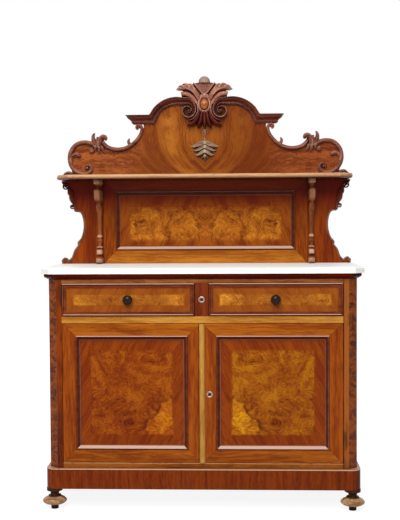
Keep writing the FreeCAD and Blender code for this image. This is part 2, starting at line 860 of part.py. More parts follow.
# Doors: mitred frames round a panel in grooves, with an ogee round the panel
meeting = -size.strip_width / 2
door_y = (face, face + size.door_thick)
panel_y = (face + size.panel_setback, face + size.panel_setback + size.panel_thick)
panel_z = (door_low + size.door_bottom_rail, door_high - size.door_top_rail)
door_lock_z = floor_top + size.door_lock_height
lock_case_y = (door_y[1] - size.door_lock_thick, door_y[1])
door_lock_x = (meeting + size.door_bolt_throw, meeting + size.door_bolt_throw + size.door_lock_length)
door_bolt_y = (
    (lock_case_y[0] + lock_case_y[1] - size.bolt_thick) / 2,
    (lock_case_y[0] + lock_case_y[1] + size.bolt_thick) / 2,
)
door_bolt_z = (door_lock_z - size.bolt_tall / 2, door_lock_z + size.bolt_tall / 2)
door_channel = box(
    "door_bolt_channel",
    (meeting - size.door_gap - size.door_bolt_throw, size.door_lock_key_x),
    (door_bolt_y[0] - size.bolt_play, door_bolt_y[1] + size.bolt_play),
    (door_bolt_z[0] - size.bolt_play, door_bolt_z[1] + size.bolt_play),
)
door_lock_span = (door_lock_z - size.door_lock_tall / 2, door_lock_z + size.door_lock_tall / 2)
door_lock_blank = box("door_lock_blank", door_lock_x, lock_case_y, door_lock_span)
keep(cut("door_lock_case", door_lock_blank, [door_channel]))
keep(box("door_lock_bolt", (meeting, size.door_lock_key_x), door_bolt_y, door_bolt_z))
keep(escutcheon("door_lock_escutcheon", size.door_lock_key_x, door_lock_z))
door_keyhole_depth = size.door_thick - size.door_lock_thick
door_keyhole = keyhole("door_keyhole", size.door_lock_key_x, door_lock_z, door_keyhole_depth)

bore = size.pivot_radius + size.pivot_bore_play
bore_depth = size.pivot_reach + size.pivot_bore_play
low_bore = cylinder("low_bore", bore, pivot_x, pivot_y, (door_low, door_low + bore_depth))
high_bore = cylinder("high_bore", bore, pivot_x, pivot_y, (door_high - bore_depth, door_high))
socket_radius = size.pivot_radius + size.pivot_clearance
socket_blanks = [
    box("low_socket_blank", plate_x, plate_y, (door_low, door_low + size.pivot_plate_thick)),
    box("high_socket_blank", plate_x, plate_y, (door_high - size.pivot_plate_thick, door_high)),
]
socket_bore = cylinder("socket_bore", socket_radius, pivot_x, pivot_y, (door_low, door_high))
right_sockets = cut("right_door_sockets", group("socket_blanks", socket_blanks), [socket_bore])
left_sockets = mirror("left_door_sockets", right_sockets)
right_bores = fuse("right_pivot_seats", [low_bore, high_bore] + socket_blanks)
left_bores = mirror("left_pivot_seats", right_bores)

door_outer = opening_half - size.door_gap
panel_profile = ogee(size.moulding_width, size.panel_setback, size.moulding_proud)
left_door_edge = meeting - size.door_gap
right_meeting_stile = size.door_meeting_reach - meeting
left_meeting_stile = left_door_edge + size.door_meeting_reach
door_parts = {
    "right": (meeting, door_outer, right_meeting_stile, size.door_stile, right_bores, right_sockets),
    "left": (-door_outer, left_door_edge, size.door_stile, left_meeting_stile, left_bores, left_sockets),
}
for side, (left, right, left_stile, right_stile, bores, sockets) in door_parts.items():
    opening = (left + left_stile, right - right_stile)
    panel = box(
        f"{side}_door_panel",
        (opening[0] - size.panel_tongue, opening[1] + size.panel_tongue),
        panel_y,
        (panel_z[0] - size.panel_tongue, panel_z[1] + size.panel_tongue),
    )
    tools = [panel, bores, door_channel]
    if side == "right":
        tools += [door_lock_blank, door_keyhole]
    members = (left_stile, right_stile, size.door_bottom_rail, size.door_top_rail)
    keep(mitred_frame(f"{side}_door_frame", (left, right), (door_low, door_high), members, door_y, tools))
    keep(panel)
    keep(ring_moulding(f"{side}_door_moulding", opening, panel_z, panel_y[0], panel_profile))
    keep(sockets)

# Half-round closing strip on the right door, covering the joint
strip_half = size.strip_width / 2
strip_radius = (strip_half * strip_half + size.strip_proud * size.strip_proud) / (size.strip_proud * 2)
strip_centre = face - size.strip_proud + strip_radius
strip_outline = [(-strip_half, face), (strip_half, face, 0, strip_centre)]
keep(prism("closing_strip", "Z", strip_outline, door_low, door_high))

# Gallery on the marble: a mitred frame with a panel, fretted wings, brackets and a shelf
gallery_front = back - size.gallery_thick
gallery_z = (marble_face, shelf_base)
gallery_x = (-gallery_half, gallery_half)
gallery_opening = (gallery_x[0] + size.gallery_stile, gallery_x[1] - size.gallery_stile)
gallery_panel_z = (gallery_z[0] + size.gallery_bottom_rail, gallery_z[1] - size.gallery_top_rail)
gallery_seat = gallery_front + size.panel_setback
gallery_panel = keep(box(
    "gallery_panel",
    (gallery_opening[0] - size.panel_tongue, gallery_opening[1] + size.panel_tongue),
    (gallery_seat, gallery_seat + size.panel_thick),
    (gallery_panel_z[0] - size.panel_tongue, gallery_panel_z[1] + size.panel_tongue),
))
gallery_members = (size.gallery_stile, size.gallery_stile, size.gallery_bottom_rail, size.gallery_top_rail)
gallery_y = (gallery_front, back)
keep(mitred_frame("gallery_frame", gallery_x, gallery_z, gallery_members, gallery_y, [gallery_panel]))
gallery_profile = ogee(size.gallery_moulding_width, size.panel_setback, size.moulding_proud)
keep(ring_moulding("gallery_moulding", gallery_opening, gallery_panel_z, gallery_seat, gallery_profile))

# Wing outline, as shares of its length and of the gallery's height, with an arc's centre
WING_SHARES = [
    (0, 0), (0.99, 0), (1.0, 0.03), (1.0, 0.06), (0.92, 0.06), (0.86, 0.035), (0.77, 0.08),
    (0.7, 0.165), (0.62, 0.215), (0.62, 0.265), (0.54, 0.31), (0.59, 0.66, 1.13, 0.485),
    (0.64, 0.633), (0.71, 0.64), (0.7, 0.72), (0.76, 0.735), (0.82, 0.8), (0.82, 0.92),
    (0.86, 0.963), (0.95, 0.963), (1.0, 1.0), (0, 1.0),
]


def shared_outline(shares, across_start, across, up_start, up):
    """Corners from shares of two sizes; an arc's corner also carries its centre."""
    corners = []
    for share in shares:
        corner = ()
        for index, part in enumerate(share):
            start, whole = (across_start, across) if index % 2 == 0 else (up_start, up)
            corner += (start + whole * part,)
        corners.append(corner)
    return corners


wing_outline = shared_outline(WING_SHARES, gallery_half, size.wing_length, marble_face, size.gallery_height)
right_wing = keep(prism("right_wing", "Y", wing_outline, *gallery_y))
keep(mirror("left_wing", right_wing))

# Bracket outline, as shares of its depth towards the front and of the gallery's height
BRACKET_SHARES = [
    (0, 0), (0.5, 0), (0.54, 0.07), (0.44, 0.14, 0.4, 0.06), (0.3, 0.17), (0.3, 0.3), (0.24, 0.5),
    (0.36, 0.66), (0.66, 0.75), (0.9, 0.78), (1.0, 0.86), (0.94, 0.95, 0.8, 0.87), (1.0, 0.96),
    (1.0, 1.0), (0, 1.0),
]
bracket_reach = -size.bracket_depth
rise = size.gallery_height
bracket_outline = shared_outline(BRACKET_SHARES, gallery_front, bracket_reach, marble_face, rise)
bracket_half = size.bracket_thick / 2
bracket_middle = gallery_half + size.bracket_offset
bracket_x = (bracket_middle - bracket_half, bracket_middle + bracket_half)
right_bracket = keep(prism("right_bracket", "X", bracket_outline, *bracket_x))
keep(mirror("left_bracket", right_bracket))

shelf_front = back - size.shelf_depth
shelf_outline = [
    (-shelf_half, shelf_front + size.shelf_cant),
    (-shelf_half + size.shelf_cant, shelf_front),
    (shelf_half - size.shelf_cant, shelf_front),
    (shelf_half, shelf_front + size.shelf_cant),
    (shelf_half, back),
    (-shelf_half, back),
]
shelf = prism("gallery_shelf", "Z", shelf_outline, shelf_base, crest_base)
rounded(shelf, size.shelf_edge_radius, lambda edge: shown_edge(edge, size.shelf_thick))
keep(rounded(shelf, size.shelf_edge_radius, lambda edge: shown_edge(edge, as_size(0))))

# Crest board behind the carving: end scroll, hollow, cornice ledge and swan-neck arch
ARCH_FOOT_ANGLE = 26
END_ANGLES = (-36, 100)
HOLLOW_ANGLES = (-51, 187)
# centres of the crest's curves, and corners of the lobe between end scroll and hollow, as shares of its
# half length and rise
END_SCROLL_SHARES = (0.8846, 0.2378)
END_CURL_SHARES = (0.8782, 0.1117)
HOOK_SHARES = (0.9391, 0.2521)
HOLLOW_SHARES = (0.617, 0.6619)
HOLLOW_CURL_SHARES = (0.4615, 0.596)
LOBE_SHARES = [(0.808, 0.405), (0.788, 0.515), (0.742, 0.5)]
# half width of the cartouche between the volutes, as a share of its half length
CARTOUCHE_WAIST_SHARE = 0.27


def on_circle(centre_x, centre_z, radius, angle):
    turn = math.radians(angle)
    return (centre_x + radius * math.cos(turn), centre_z + radius * math.sin(turn))


def on_crest(shares):
    """A place on the crest, from its shares."""
    across, up = shares
    return crest_half * across, crest_base + size.crest_rise * up


crest_front = back - size.crest_thick
end_x, end_z = on_crest(END_SCROLL_SHARES)
hollow_x, hollow_z = on_crest(HOLLOW_SHARES)
cartouche_waist = size.cartouche_half_length * CARTOUCHE_WAIST_SHARE
volute_x = cartouche_waist + size.volute_clearance + size.volute_radius
volute_z = crest_base + size.volute_rise
arch_x = volute_x + size.neck_run
arch_z = crest_base + size.arch_centre_rise
arch_foot = on_circle(arch_x, arch_z, size.arch_radius, ARCH_FOOT_ANGLE)
cornice_half = arch_foot[0] + size.ledge_run
cornice_top = arch_foot[1]
cornice_low = cornice_top - size.cornice_height
hollow_end = on_circle(hollow_x, hollow_z, size.hollow_radius, HOLLOW_ANGLES[1])
crest_half_outline = [
    (0, crest_base),
    (end_x + size.end_scroll_foot, crest_base),
    on_circle(end_x, end_z, size.end_scroll_radius, END_ANGLES[0]),
    on_circle(end_x, end_z, size.end_scroll_radius, END_ANGLES[1]) + (end_x, end_z),
    *[on_crest(shares) for shares in LOBE_SHARES],
    on_circle(hollow_x, hollow_z, size.hollow_radius, HOLLOW_ANGLES[0]),
    hollow_end + (hollow_x, hollow_z),
    (hollow_end[0], cornice_low),
    (cornice_half, cornice_low),
    (cornice_half, cornice_top),
    arch_foot,
    (arch_x, arch_z + size.arch_radius, arch_x, arch_z),
    (volute_x, volute_z + size.volute_radius - size.volute_backing),
    (volute_x - size.volute_radius + size.volute_backing, volute_z),
    (0, volute_z),
]
right_crest = prism("right_crest_half", "Y", crest_half_outline, crest_front, back)
crest_board = keep(fuse("crest_board", [right_crest, mirror("left_crest_half", right_crest)]))
crest_board.Refine = True

# Cornice: one moulding from the return at its end, along the ledge, over the arch and into the volute
# corners of its section, as shares of its depth down from the top and of how far it stands proud
CORNICE_SHARES = [
    (0, 0), (0, 1.0), (0.14, 1.0), (0.18, 0.88), (0.3, 0.84), (0.46, 0.62),
    (0.58, 0.42), (0.66, 0.36), (0.84, 0.32), (0.95, 0.16), (1.0, 0.14), (1.0, 0),
]
ARCH_ANGLES = range(40, 91, 10)
VOLUTE_ANGLES = range(90, 451, 30)
VOLUTE_TURN_SHARE = 0.5
VOLUTE_WIDTH_SHARE = 0.45
VOLUTE_PROUD_SHARE = 0.72


def cornice_shape():
    reach = size.cornice_proud.value
    height = size.cornice_height.value
    width = size.arch_width.value
    end = cornice_half.value
    top = cornice_top.value
    radius = size.arch_radius.value
    front = crest_front.value
    returned = []
    corner = []
    mitre = []
    for down, out in CORNICE_SHARES:
        level = top - height * down
        proud = reach * out
        across = math.sqrt((radius - width * down) ** 2 - (level - arch_z.value) ** 2)
        returned.append(Vector(end + proud, back.value, level))
        corner.append(Vector(end + proud, front - proud, level))
        mitre.append(Vector(arch_x.value + across, front - proud, level))
    sections = [returned, corner, mitre]
    for angle in ARCH_ANGLES:
        turn = math.radians(angle)
        points = []
        for down, out in CORNICE_SHARES:
            length = radius - width * down
            across = arch_x.value + length * math.cos(turn)
            points.append(Vector(across, front - reach * out, arch_z.value + length * math.sin(turn)))
        sections.append(points)
    for angle in VOLUTE_ANGLES:
        turn = math.radians(angle)
        gone = (angle - VOLUTE_ANGLES[0]) / (VOLUTE_ANGLES[-1] - VOLUTE_ANGLES[0])
        outer = size.volute_radius.value * VOLUTE_TURN_SHARE ** gone
        proud = reach * (1 - (1 - VOLUTE_PROUD_SHARE) * gone)
        points = []
        for down, out in CORNICE_SHARES:
            length = outer * (1 - VOLUTE_WIDTH_SHARE * down)
            across = volute_x.value + length * math.cos(turn)
            points.append(Vector(across, front - proud * out, volute_z.value + length * math.sin(turn)))
        sections.append(points)
    return loft(sections)


def volute_eye_shape():
    """The domed button in the middle of a volute."""
    radius = size.volute_eye_radius.value
    proud = size.cornice_proud.value * VOLUTE_PROUD_SHARE
    foot = Vector(volute_x.value, crest_front.value, volute_z.value)
    front = Vector(0, -1, 0)
    button = Part.makeCylinder(radius, proud - radius / 2, foot, front)
    crown = Part.makeCone(radius, radius / 2, radius / 2, foot + front * (proud - radius / 2), front)
    return button.fuse(crown).removeSplitter()


keep(both_sides("crest_cornice", [cornice_shape(), volute_eye_shape()]))

# Carved scrolls: round beads along the edge of the crest, tapering into small volutes
# corners of a bead's section, as shares of its width and of how far it stands proud
BEAD_SHARES = [(-0.5, 0), (-0.42, 0.55), (-0.16, 1.0), (0.16, 1.0), (0.42, 0.55), (0.5, 0)]
# (angle, radius as a share of the run's radius, width as a share of the scroll's) along each run
END_RUN_SHARES = [(angle, 1.0, 1.0) for angle in range(114, -71, -16)]
END_CURL_RUN_SHARES = [
    (-90, 1.0, 0.9), (-135, 0.96, 0.8), (-180, 0.9, 0.7), (-225, 0.83, 0.6),
    (-270, 0.75, 0.5), (-315, 0.65, 0.42), (-360, 0.55, 0.35), (-405, 0.42, 0.3),
]
HOOK_RUN_SHARES = [
    (-35, 1.0, 0.7), (-5, 0.88, 0.65), (30, 0.78, 0.6), (75, 0.7, 0.5),
    (120, 0.6, 0.42), (165, 0.5, 0.35), (215, 0.36, 0.3),
]
HOLLOW_RUN_SHARES = [(angle, 1.0, 0.95) for angle in range(-58, -166, -12)]
HOLLOW_CURL_RUN_SHARES = [
    (180, 1.0, 0.8), (135, 0.95, 0.7), (90, 0.87, 0.6), (45, 0.78, 0.5),
    (0, 0.68, 0.42), (-50, 0.55, 0.35), (-100, 0.4, 0.3),
]


def bead_shape(runs):
    """A bead through runs of points round their own centres."""
    places = []
    widths = []
    for centre, radius, shares in runs:
        for angle, radius_share, width_share in shares:
            across, up = on_circle(*on_crest(centre), radius * radius_share, angle)
            places.append(Vector(across.value, 0, up.value))
            widths.append(width_share)
    sections = []
    for index, place in enumerate(places):
        before = places[max(index - 1, 0)]
        after = places[min(index + 1, len(places) - 1)]
        along = (after - before).normalize()
        across = Vector(-along.z, 0, along.x)
        width = size.scroll_width.value * widths[index]
        proud = size.scroll_proud.value * (1 + widths[index]) / 2
        foot = place + Vector(0, crest_front.value, 0)
        points = []
        for side, out in BEAD_SHARES:
            points.append(foot + across * (width * side) + Vector(0, -proud * out, 0))
        sections.append(points)
    return loft(sections)


end_run = size.end_scroll_radius - size.scroll_width / 2
hollow_run = size.hollow_radius + size.scroll_width / 2
end_scroll = bead_shape([
    (END_SCROLL_SHARES, end_run, END_RUN_SHARES),
    (END_CURL_SHARES, size.end_curl_radius, END_CURL_RUN_SHARES),
])
hook = bead_shape([(HOOK_SHARES, size.hook_radius, HOOK_RUN_SHARES)])
hollow_scroll = bead_shape([
    (HOLLOW_SHARES, hollow_run, HOLLOW_RUN_SHARES),
    (HOLLOW_CURL_SHARES, size.hollow_curl_radius, HOLLOW_CURL_RUN_SHARES),
])
keep(both_sides("crest_scrolls", [end_scroll, hook, hollow_scroll]))

# Carved leaves: each runs from its base past a bend to its tip, ridged in front and flat behind
# corners of a leaf's section, as shares of its width and of how far it stands proud
LEAF_SHARES = [(-0.5, 0), (-0.3, 0.72), (0, 1.0), (0.3, 0.72), (0.5, 0)]
# how far along the leaf, its width and how proud it is there, as shares
LEAF_RUN_SHARES = [
    (0, 0.5, 0.6), (0.2, 0.82, 0.9), (0.4, 1.0, 1.0), (0.6, 0.97, 0.95), (0.8, 0.7, 0.78),
    (0.92, 0.36, 0.55), (1.0, 0.1, 0.35),
]
# base, bend and tip of each leaf in the lobe and at the shelf's end, as shares of the crest's half length and
# rise, and its width as a share of the rise
CREST_LEAVES_SHARES = [
    ((0.802, 0.35), (0.786, 0.47), (0.818, 0.565), 0.0537),
    ((0.768, 0.35), (0.772, 0.45), (0.782, 0.53), 0.0484),
    ((0.742, 0.35), (0.744, 0.47), (0.716, 0.51), 0.0501),
    ((0.785, 0.338), (0.796, 0.3), (0.79, 0.262), 0.0537),
    ((0.752, 0.338), (0.738, 0.3), (0.742, 0.268), 0.0501),
    ((0.975, 0.0233), (1.01, 0.0233), (1.04, 0.0233), 0.0466),
]
# the same for the cartouche, as shares of its half length and height
CARTOUCHE_LEAVES_SHARES = [
    ((0.11, 0.56), (0.3, 0.82), (0.99, 0.854), 0.1229),
    ((0.09, 0.6), (0.32, 0.94), (0.714, 0.956), 0.1106),
    ((0.04, 0.62), (0.12, 0.9), (0.4, 0.976), 0.1045),
    ((0.15, 0.6), (0.32, 0.77), (0.84, 0.725), 0.0676),
    ((0.06, 0.385), (0.11, 0.19), (0.635, 0.06), 0.0922),
    ((0.04, 0.385), (0.06, 0.17), (0.36, 0.0), 0.086),
]
CARTOUCHE_MIDDLE_LEAVES_SHARES = [
    ((0, 0.385), (0, 0.17), (0, -0.015), 0.1229),
    ((0, 0.7), (0, 0.85), (0, 0.96), 0.1844),
]
# and for the pendant, as shares of its half length and height
PENDANT_LEAVES_SHARES = [
    ((0.06, 0.9), (0.45, 0.95), (1.0, 0.67), 0.1883),
    ((0.05, 0.76), (0.36, 0.74), (0.76, 0.46), 0.1694),
    ((0.04, 0.6), (0.26, 0.54), (0.62, 0.28), 0.1506),
]
PENDANT_MIDDLE_LEAVES_SHARES = [((0, 0.99), (0, 0.5), (0, 0.0), 0.2636)]
# height and radius of the two drops above the pendant, as shares of the pendant's height
DROP_SHARES = [(1.09, 0.06), (1.36, 0.06)]
# the boss narrows to this share of its outline at the front
BOSS_FRONT_SHARE = 0.78
BOSS_SIDES = 32


def leaf_shape(base, bend, tip, width, proud):
    sections = []
    for gone, width_share, proud_share in LEAF_RUN_SHARES:
        left = 1 - gone
        place = base * (left * left) + bend * (2 * left * gone) + tip * (gone * gone)
        along = ((bend - base) * left + (tip - bend) * gone).normalize()
        across = Vector(-along.z, 0, along.x) * (width * width_share)
        rise = Vector(0, -proud * proud_share, 0)
        sections.append([place + across * side + rise * out for side, out in LEAF_SHARES])
    return loft(sections)


def leaves(table, half, low, height, proud):
    """The leaves of a table of shares, seated on the crest's front."""
    shapes = []
    for *places, width_share in table:
        points = []
        for across, up in places:
            points.append(Vector(half.value * across, crest_front.value, low.value + height.value * up))
        shapes.append(leaf_shape(*points, height.value * width_share, proud.value))
    return shapes


def ellipsoid(name, half_length, half_height, proud, place, whole):
    """A carved swelling, or the front half of one, with its proud side to the front."""
    swelling = doc.addObject("Part::Ellipsoid", name)
    bind(swelling, "Radius1", proud)
    bind(swelling, "Radius2", half_length)
    bind(swelling, "Radius3", half_height)
    swelling.Angle1 = -90 if whole else 0
    swelling.Placement.Rotation = FreeCAD.Rotation(Vector(1, 0, 0), 90)
    for axis, length in zip("xyz", place):
        bind(swelling, f"Placement.Base.{axis}", length)
    return swelling


def spray(name, sides, middle, others):
    """Leaves on both sides and in the middle, carved from one block with other forms."""
    twins = [shape.mirror(Vector(), Vector(1, 0, 0)) for shape in sides]
    blades = []
    for index, shape in enumerate(sides + twins + middle):
        blades.append(feature(f"{name}_leaf_{index}", shape))
    return fuse(name, blades + others)


crest_size = (crest_half, crest_base, size.crest_rise, size.leaf_proud)
keep(both_sides("crest_leaves", leaves(CREST_LEAVES_SHARES, *crest_size)))

# Cartouche: leaves that spread over and under the volutes, an oval boss with a cabochon, and a knop on top
cartouche_base = crest_base + size.cartouche_base_rise
boss_front = crest_front - size.boss_proud
boss_place = Vector(0, crest_front.value, crest_base.value + size.boss_rise.value)


def boss_shape():
    sections = []
    for forward, share in ((0, 1), (size.boss_proud.value, BOSS_FRONT_SHARE)):
        points = []
        for step in range(BOSS_SIDES):
            turn = math.tau * step / BOSS_SIDES
            across = size.boss_half_length.value * share * math.cos(turn)
            up = size.boss_half_height.value * share * math.sin(turn)
            points.append(boss_place + Vector(across, -forward, up))
        sections.append(points)
    return loft(sections)


knop_place = (0, crest_front - size.cartouche_leaf_proud / 2, cartouche_base + size.cartouche_height)
knop_size = (size.knop_radius, size.knop_half_height, size.cartouche_leaf_proud)
knop = ellipsoid("knop", *knop_size, knop_place, True)
cartouche_half, cartouche_height = size.cartouche_half_length, size.cartouche_height
cartouche_size = (cartouche_half, cartouche_base, cartouche_height, size.cartouche_leaf_proud)
cartouche_sides = leaves(CARTOUCHE_LEAVES_SHARES, *cartouche_size)
cartouche_middle = leaves(CARTOUCHE_MIDDLE_LEAVES_SHARES, *cartouche_size)
boss = feature("cartouche_boss", boss_shape())
keep(spray("crest_cartouche", cartouche_sides, cartouche_middle, [boss, knop]))
cabochon_place = (0, boss_front, crest_base + size.cabochon_rise)
cabochon_size = (size.cabochon_half_length, size.cabochon_half_height, size.cabochon_proud)
keep(ellipsoid("crest_cabochon", *cabochon_size, cabochon_place, False))

# Pendant of leaves with two drops above it, applied to the middle of the crest
pendant_base = crest_base + size.pendant_rise
pendant_size = (size.pendant_half_length, pendant_base, size.pendant_height, size.pendant_thick)
pendant_sides = leaves(PENDANT_LEAVES_SHARES, *pendant_size)
pendant_middle = leaves(PENDANT_MIDDLE_LEAVES_SHARES, *pendant_size)
pendant_pieces = [spray("pendant_spray", pendant_sides, pendant_middle, [])]
for index, (up, radius) in enumerate(DROP_SHARES):
    place = (0, crest_front, pendant_base + size.pendant_height * up)
    drop = size.pendant_height * radius
    pendant_pieces.append(ellipsoid(f"pendant_drop_{index}", drop, drop, drop, place, False))
keep(group("crest_pendant", pendant_pieces))

doc.recompute()
for item in doc.Objects:
    if "Invalid" in item.State or "Error" in item.State:
        raise RuntimeError(f"{item.Label} failed: {item.State}")
for piece in nodes:
    if piece.Shape.isNull() or not piece.Shape.isValid():
        raise RuntimeError(f"{piece.Label} has no valid shape")
os.makedirs("parts", exist_ok=True)
for piece in nodes:
    piece.Shape.exportStep(f"parts/{piece.Label}.step")
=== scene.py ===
import math

import bpy
from mathutils import Matrix, Vector


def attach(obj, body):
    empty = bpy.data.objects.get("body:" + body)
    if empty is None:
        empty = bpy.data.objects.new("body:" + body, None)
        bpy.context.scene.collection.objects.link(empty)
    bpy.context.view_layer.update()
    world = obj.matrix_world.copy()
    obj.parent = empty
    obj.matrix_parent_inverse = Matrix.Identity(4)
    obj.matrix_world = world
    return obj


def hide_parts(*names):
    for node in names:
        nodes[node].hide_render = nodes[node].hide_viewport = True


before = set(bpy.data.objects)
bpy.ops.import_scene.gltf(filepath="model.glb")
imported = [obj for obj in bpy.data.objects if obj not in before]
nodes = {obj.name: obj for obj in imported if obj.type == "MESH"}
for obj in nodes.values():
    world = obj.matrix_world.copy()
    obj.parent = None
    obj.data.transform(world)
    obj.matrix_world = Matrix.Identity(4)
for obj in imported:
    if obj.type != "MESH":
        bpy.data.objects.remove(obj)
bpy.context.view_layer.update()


# Front feet: walnut, turned on a lathe from one block each; the bun is worn pale, and peg and neck are painted
# near black for their stain and for the shade under the bun and the plinth.
# A flattened bun sits on a peg, under a collar, a waisted neck and a cup that is pegged into the plinth.
def through(points, steps):
    """A smooth line through points; a point given twice is a corner."""
    line = []
    last = len(points) - 1
    for index in range(last):
        before, start, end, after = (points[min(max(index + k, 0), last)] for k in (-1, 0, 1, 2))
        if start == end:
            continue
        for step in range(steps):
            t = step / steps
            line.append(tuple(
                (2 * b + (c - a) * t + (2 * a - 5 * b + 4 * c - d) * t * t
                 + (3 * b - a - 3 * c + d) * t ** 3) / 2
                for a, b, c, d in zip(before, start, end, after)))
    line.append(tuple(points[-1]))
    return line


def metres(points, shares=()):
    """Points that are given in millimetres; columns that hold shares or angles stay as they are."""
    return [tuple(value if column in shares else value / 1000 for column, value in enumerate(point))
            for point in points]


def drawn(points, steps, shares=()):
    return through(metres(points, shares), steps)


def picked(*pieces):
    """Only these pieces selected, and the first of them active."""
    bpy.ops.object.select_all(action="DESELECT")
    for piece in reversed(pieces):
        piece.select_set(True)
        bpy.context.view_layer.objects.active = piece


def start_edit(name):
    piece = bpy.context.object
    piece.name = name
    bpy.ops.object.mode_set(mode="EDIT")
    bpy.ops.mesh.select_all(action="SELECT")
    return piece


def end_edit(piece, angle=0.7):
    bpy.ops.mesh.select_all(action="SELECT")
    bpy.ops.mesh.remove_doubles(threshold=0.000002)
    bpy.ops.mesh.normals_make_consistent(inside=False)
    bpy.ops.object.mode_set(mode="OBJECT")
    bpy.ops.object.shade_smooth_by_angle(angle=angle)
    return piece


up, forward = (0, 0, 1), (0, -1, 0)


def turned(name, profile, foot, axis, steps=56):
    """Draw a profile of (radius, along) from a vertex, and spin it round the axis through the foot."""
    picked()
    bpy.ops.mesh.primitive_plane_add(size=0.01, location=(0, 0, 0))
    piece = start_edit(name)
    bpy.ops.mesh.merge(type="CENTER")
    places = [Vector(foot) + Vector((radius, 0, 0)) + Vector(axis) * along for radius, along in profile]
    bpy.ops.transform.translate(value=places[0])
    for last, place in zip(places, places[1:]):
        bpy.ops.mesh.extrude_vertices_move(TRANSFORM_OT_translate={"value": place - last})
    bpy.ops.mesh.select_all(action="SELECT")
    bpy.ops.mesh.spin(steps=steps, angle=math.tau, center=foot, axis=axis)
    return end_edit(piece)


def mirrored(piece):
    """Give a piece its twin on the other side of the middle."""
    bpy.context.view_layer.objects.active = piece
    piece.modifiers.new("twin", "MIRROR").use_mirror_merge = False
    bpy.ops.object.modifier_apply(modifier="twin")
    return piece


def link(sockets, values):
    """Join values to sockets, or set them there where they are constants."""
    for key, value in values.items():
        if isinstance(value, bpy.types.NodeSocket):
            value.id_data.links.new(value, sockets[key])
        else:
            sockets[key].default_value = value


def shader(tree, kind, inputs=None, **settings):
    node = tree.nodes.new("ShaderNode" + kind)
    for name, value in settings.items():
        setattr(node, name, value)
    link(node.inputs, inputs or {})
    return node


def made(kind, inputs, **settings):
    """A node in the tree of the first socket that it is joined to."""
    tree = next(value.id_data for value in inputs.values() if isinstance(value, bpy.types.NodeSocket))
    return shader(tree, kind, inputs, **settings)


def sums(operation, *values):
    return made("Math", dict(enumerate(values)), operation=operation).outputs[0]


def times(first, second):
    return sums("MULTIPLY", first, second)


def size(value):
    return sums("ABSOLUTE", value)


def gap(value, middle):
    return size(sums("SUBTRACT", value, middle))


def vectors(operation, *values):
    return made("VectorMath", dict(enumerate(values)), operation=operation).outputs["Vector"]


def length(vector):
    return made("VectorMath", {0: vector}, operation="LENGTH").outputs["Value"]


def parted(vector):
    return made("SeparateXYZ", {0: vector}).outputs


def combined(*parts):
    return made("CombineXYZ", dict(enumerate(parts))).outputs[0]


def rise(value, low, high, end=1, start=0):
    """A soft step from start to end, as a value passes from low to high."""
    limits = {"Value": value, "From Min": low, "From Max": high, "To Min": start, "To Max": end}
    return made("MapRange", limits, interpolation_type="SMOOTHSTEP").outputs[0]


def fall(value, low, high, start=1):
    return rise(value, low, high, 0, start)


def blend(share, first, second, blend_type="MIX"):
    first, second = (c if isinstance(c, bpy.types.NodeSocket) else (*c, 1) for c in (first, second))
    parts = {0: share, 6: first, 7: second}
    return made("Mix", parts, data_type="RGBA", blend_type=blend_type).outputs[2]


def noise(vector, scale, detail=3, roughness=0.5, distortion=0, output=0):
    parts = {"Vector": vector, "Scale": scale, "Detail": detail, "Roughness": roughness,
             "Distortion": distortion}
    return made("TexNoise", parts).outputs[output]


def node_group(name, inputs, outputs):
    tree = bpy.data.node_groups.new(name, "ShaderNodeTree")
    for side, sockets in (("INPUT", inputs), ("OUTPUT", outputs)):
        for label, kind in sockets.items():
            tree.interface.new_socket(label, in_out=side, socket_type="NodeSocket" + kind)
    return tree, tree.nodes.new("NodeGroupInput").outputs, tree.nodes.new("NodeGroupOutput").inputs


wood_outputs = {"Color": "Color", "Roughness": "Float", "Height": "Float"}
grain_inputs = {"Vector": "Vector", "Light": "Color", "Dark": "Color", "Breadth": "Float"}
grain_group, given, result = node_group("walnut_grain", grain_inputs, wood_outputs)
half_grey, pore_tone = (0.5, 0.5, 0.5), (0.5, 0.4, 0.35)
drift = vectors("SUBTRACT", noise(given["Vector"], 5.0, 2, output=1), half_grey)
bent = vectors("ADD", given["Vector"], vectors("MULTIPLY", drift, (0.03, 0.03, 0)))
along_grain = vectors("MULTIPLY", bent, (1, 1, 0.06))
broad = noise(along_grain, given["Breadth"], 3, 0.5, 0.3)
fine = noise(along_grain, times(given["Breadth"], 7), 4, 0.65)
pores = noise(vectors("MULTIPLY", bent, (1, 1, 0.025)), 900, 2, 0.6)
pores = rise(pores, 0.54, 0.7)
tone = sums("ADD", times(broad, 0.5), times(fine, 0.5))
colour = blend(rise(tone, 0.38, 0.61), given["Dark"], given["Light"])
rough = sums("MULTIPLY_ADD", fine, 0.12, 0.13)
link(result, {
    "Color": blend(times(pores, 0.5), colour, pore_tone, "MULTIPLY"),
    "Roughness": sums("MULTIPLY_ADD", pores, 0.1, rough),
    "Height": sums("SUBTRACT", fine, pores)})


def grouped(group, inputs):
    return made("Group", inputs, node_tree=group).outputs


def grained(vector, light, dark, along="z", breadth=22):
    """Colour, roughness and height of a wood whose grain runs along an axis."""
    parts = parted(vector)
    order = {"z": (0, 1, 2), "x": (2, 1, 0), "y": (0, 2, 1)}[along]
    swapped = combined(*(parts[n] for n in order))
    values = {"Vector": swapped, "Light": (*light, 1), "Dark": (*dark, 1), "Breadth": breadth}
    return tuple(grouped(grain_group, values))


def chosen(share, first, second):
    """Two woods as one, the second where the share is 1."""
    floats = [made("Mix", {0: share, 2: a, 3: b}).outputs[0] for a, b in zip(first[1:], second[1:])]
    return (blend(share, first[0], second[0]), *floats)


def tinted(wood, share, colour, blend_type="MIX"):
    """A wood with a share of another colour on it."""
    return (blend(share, wood[0], colour, blend_type), *wood[1:])


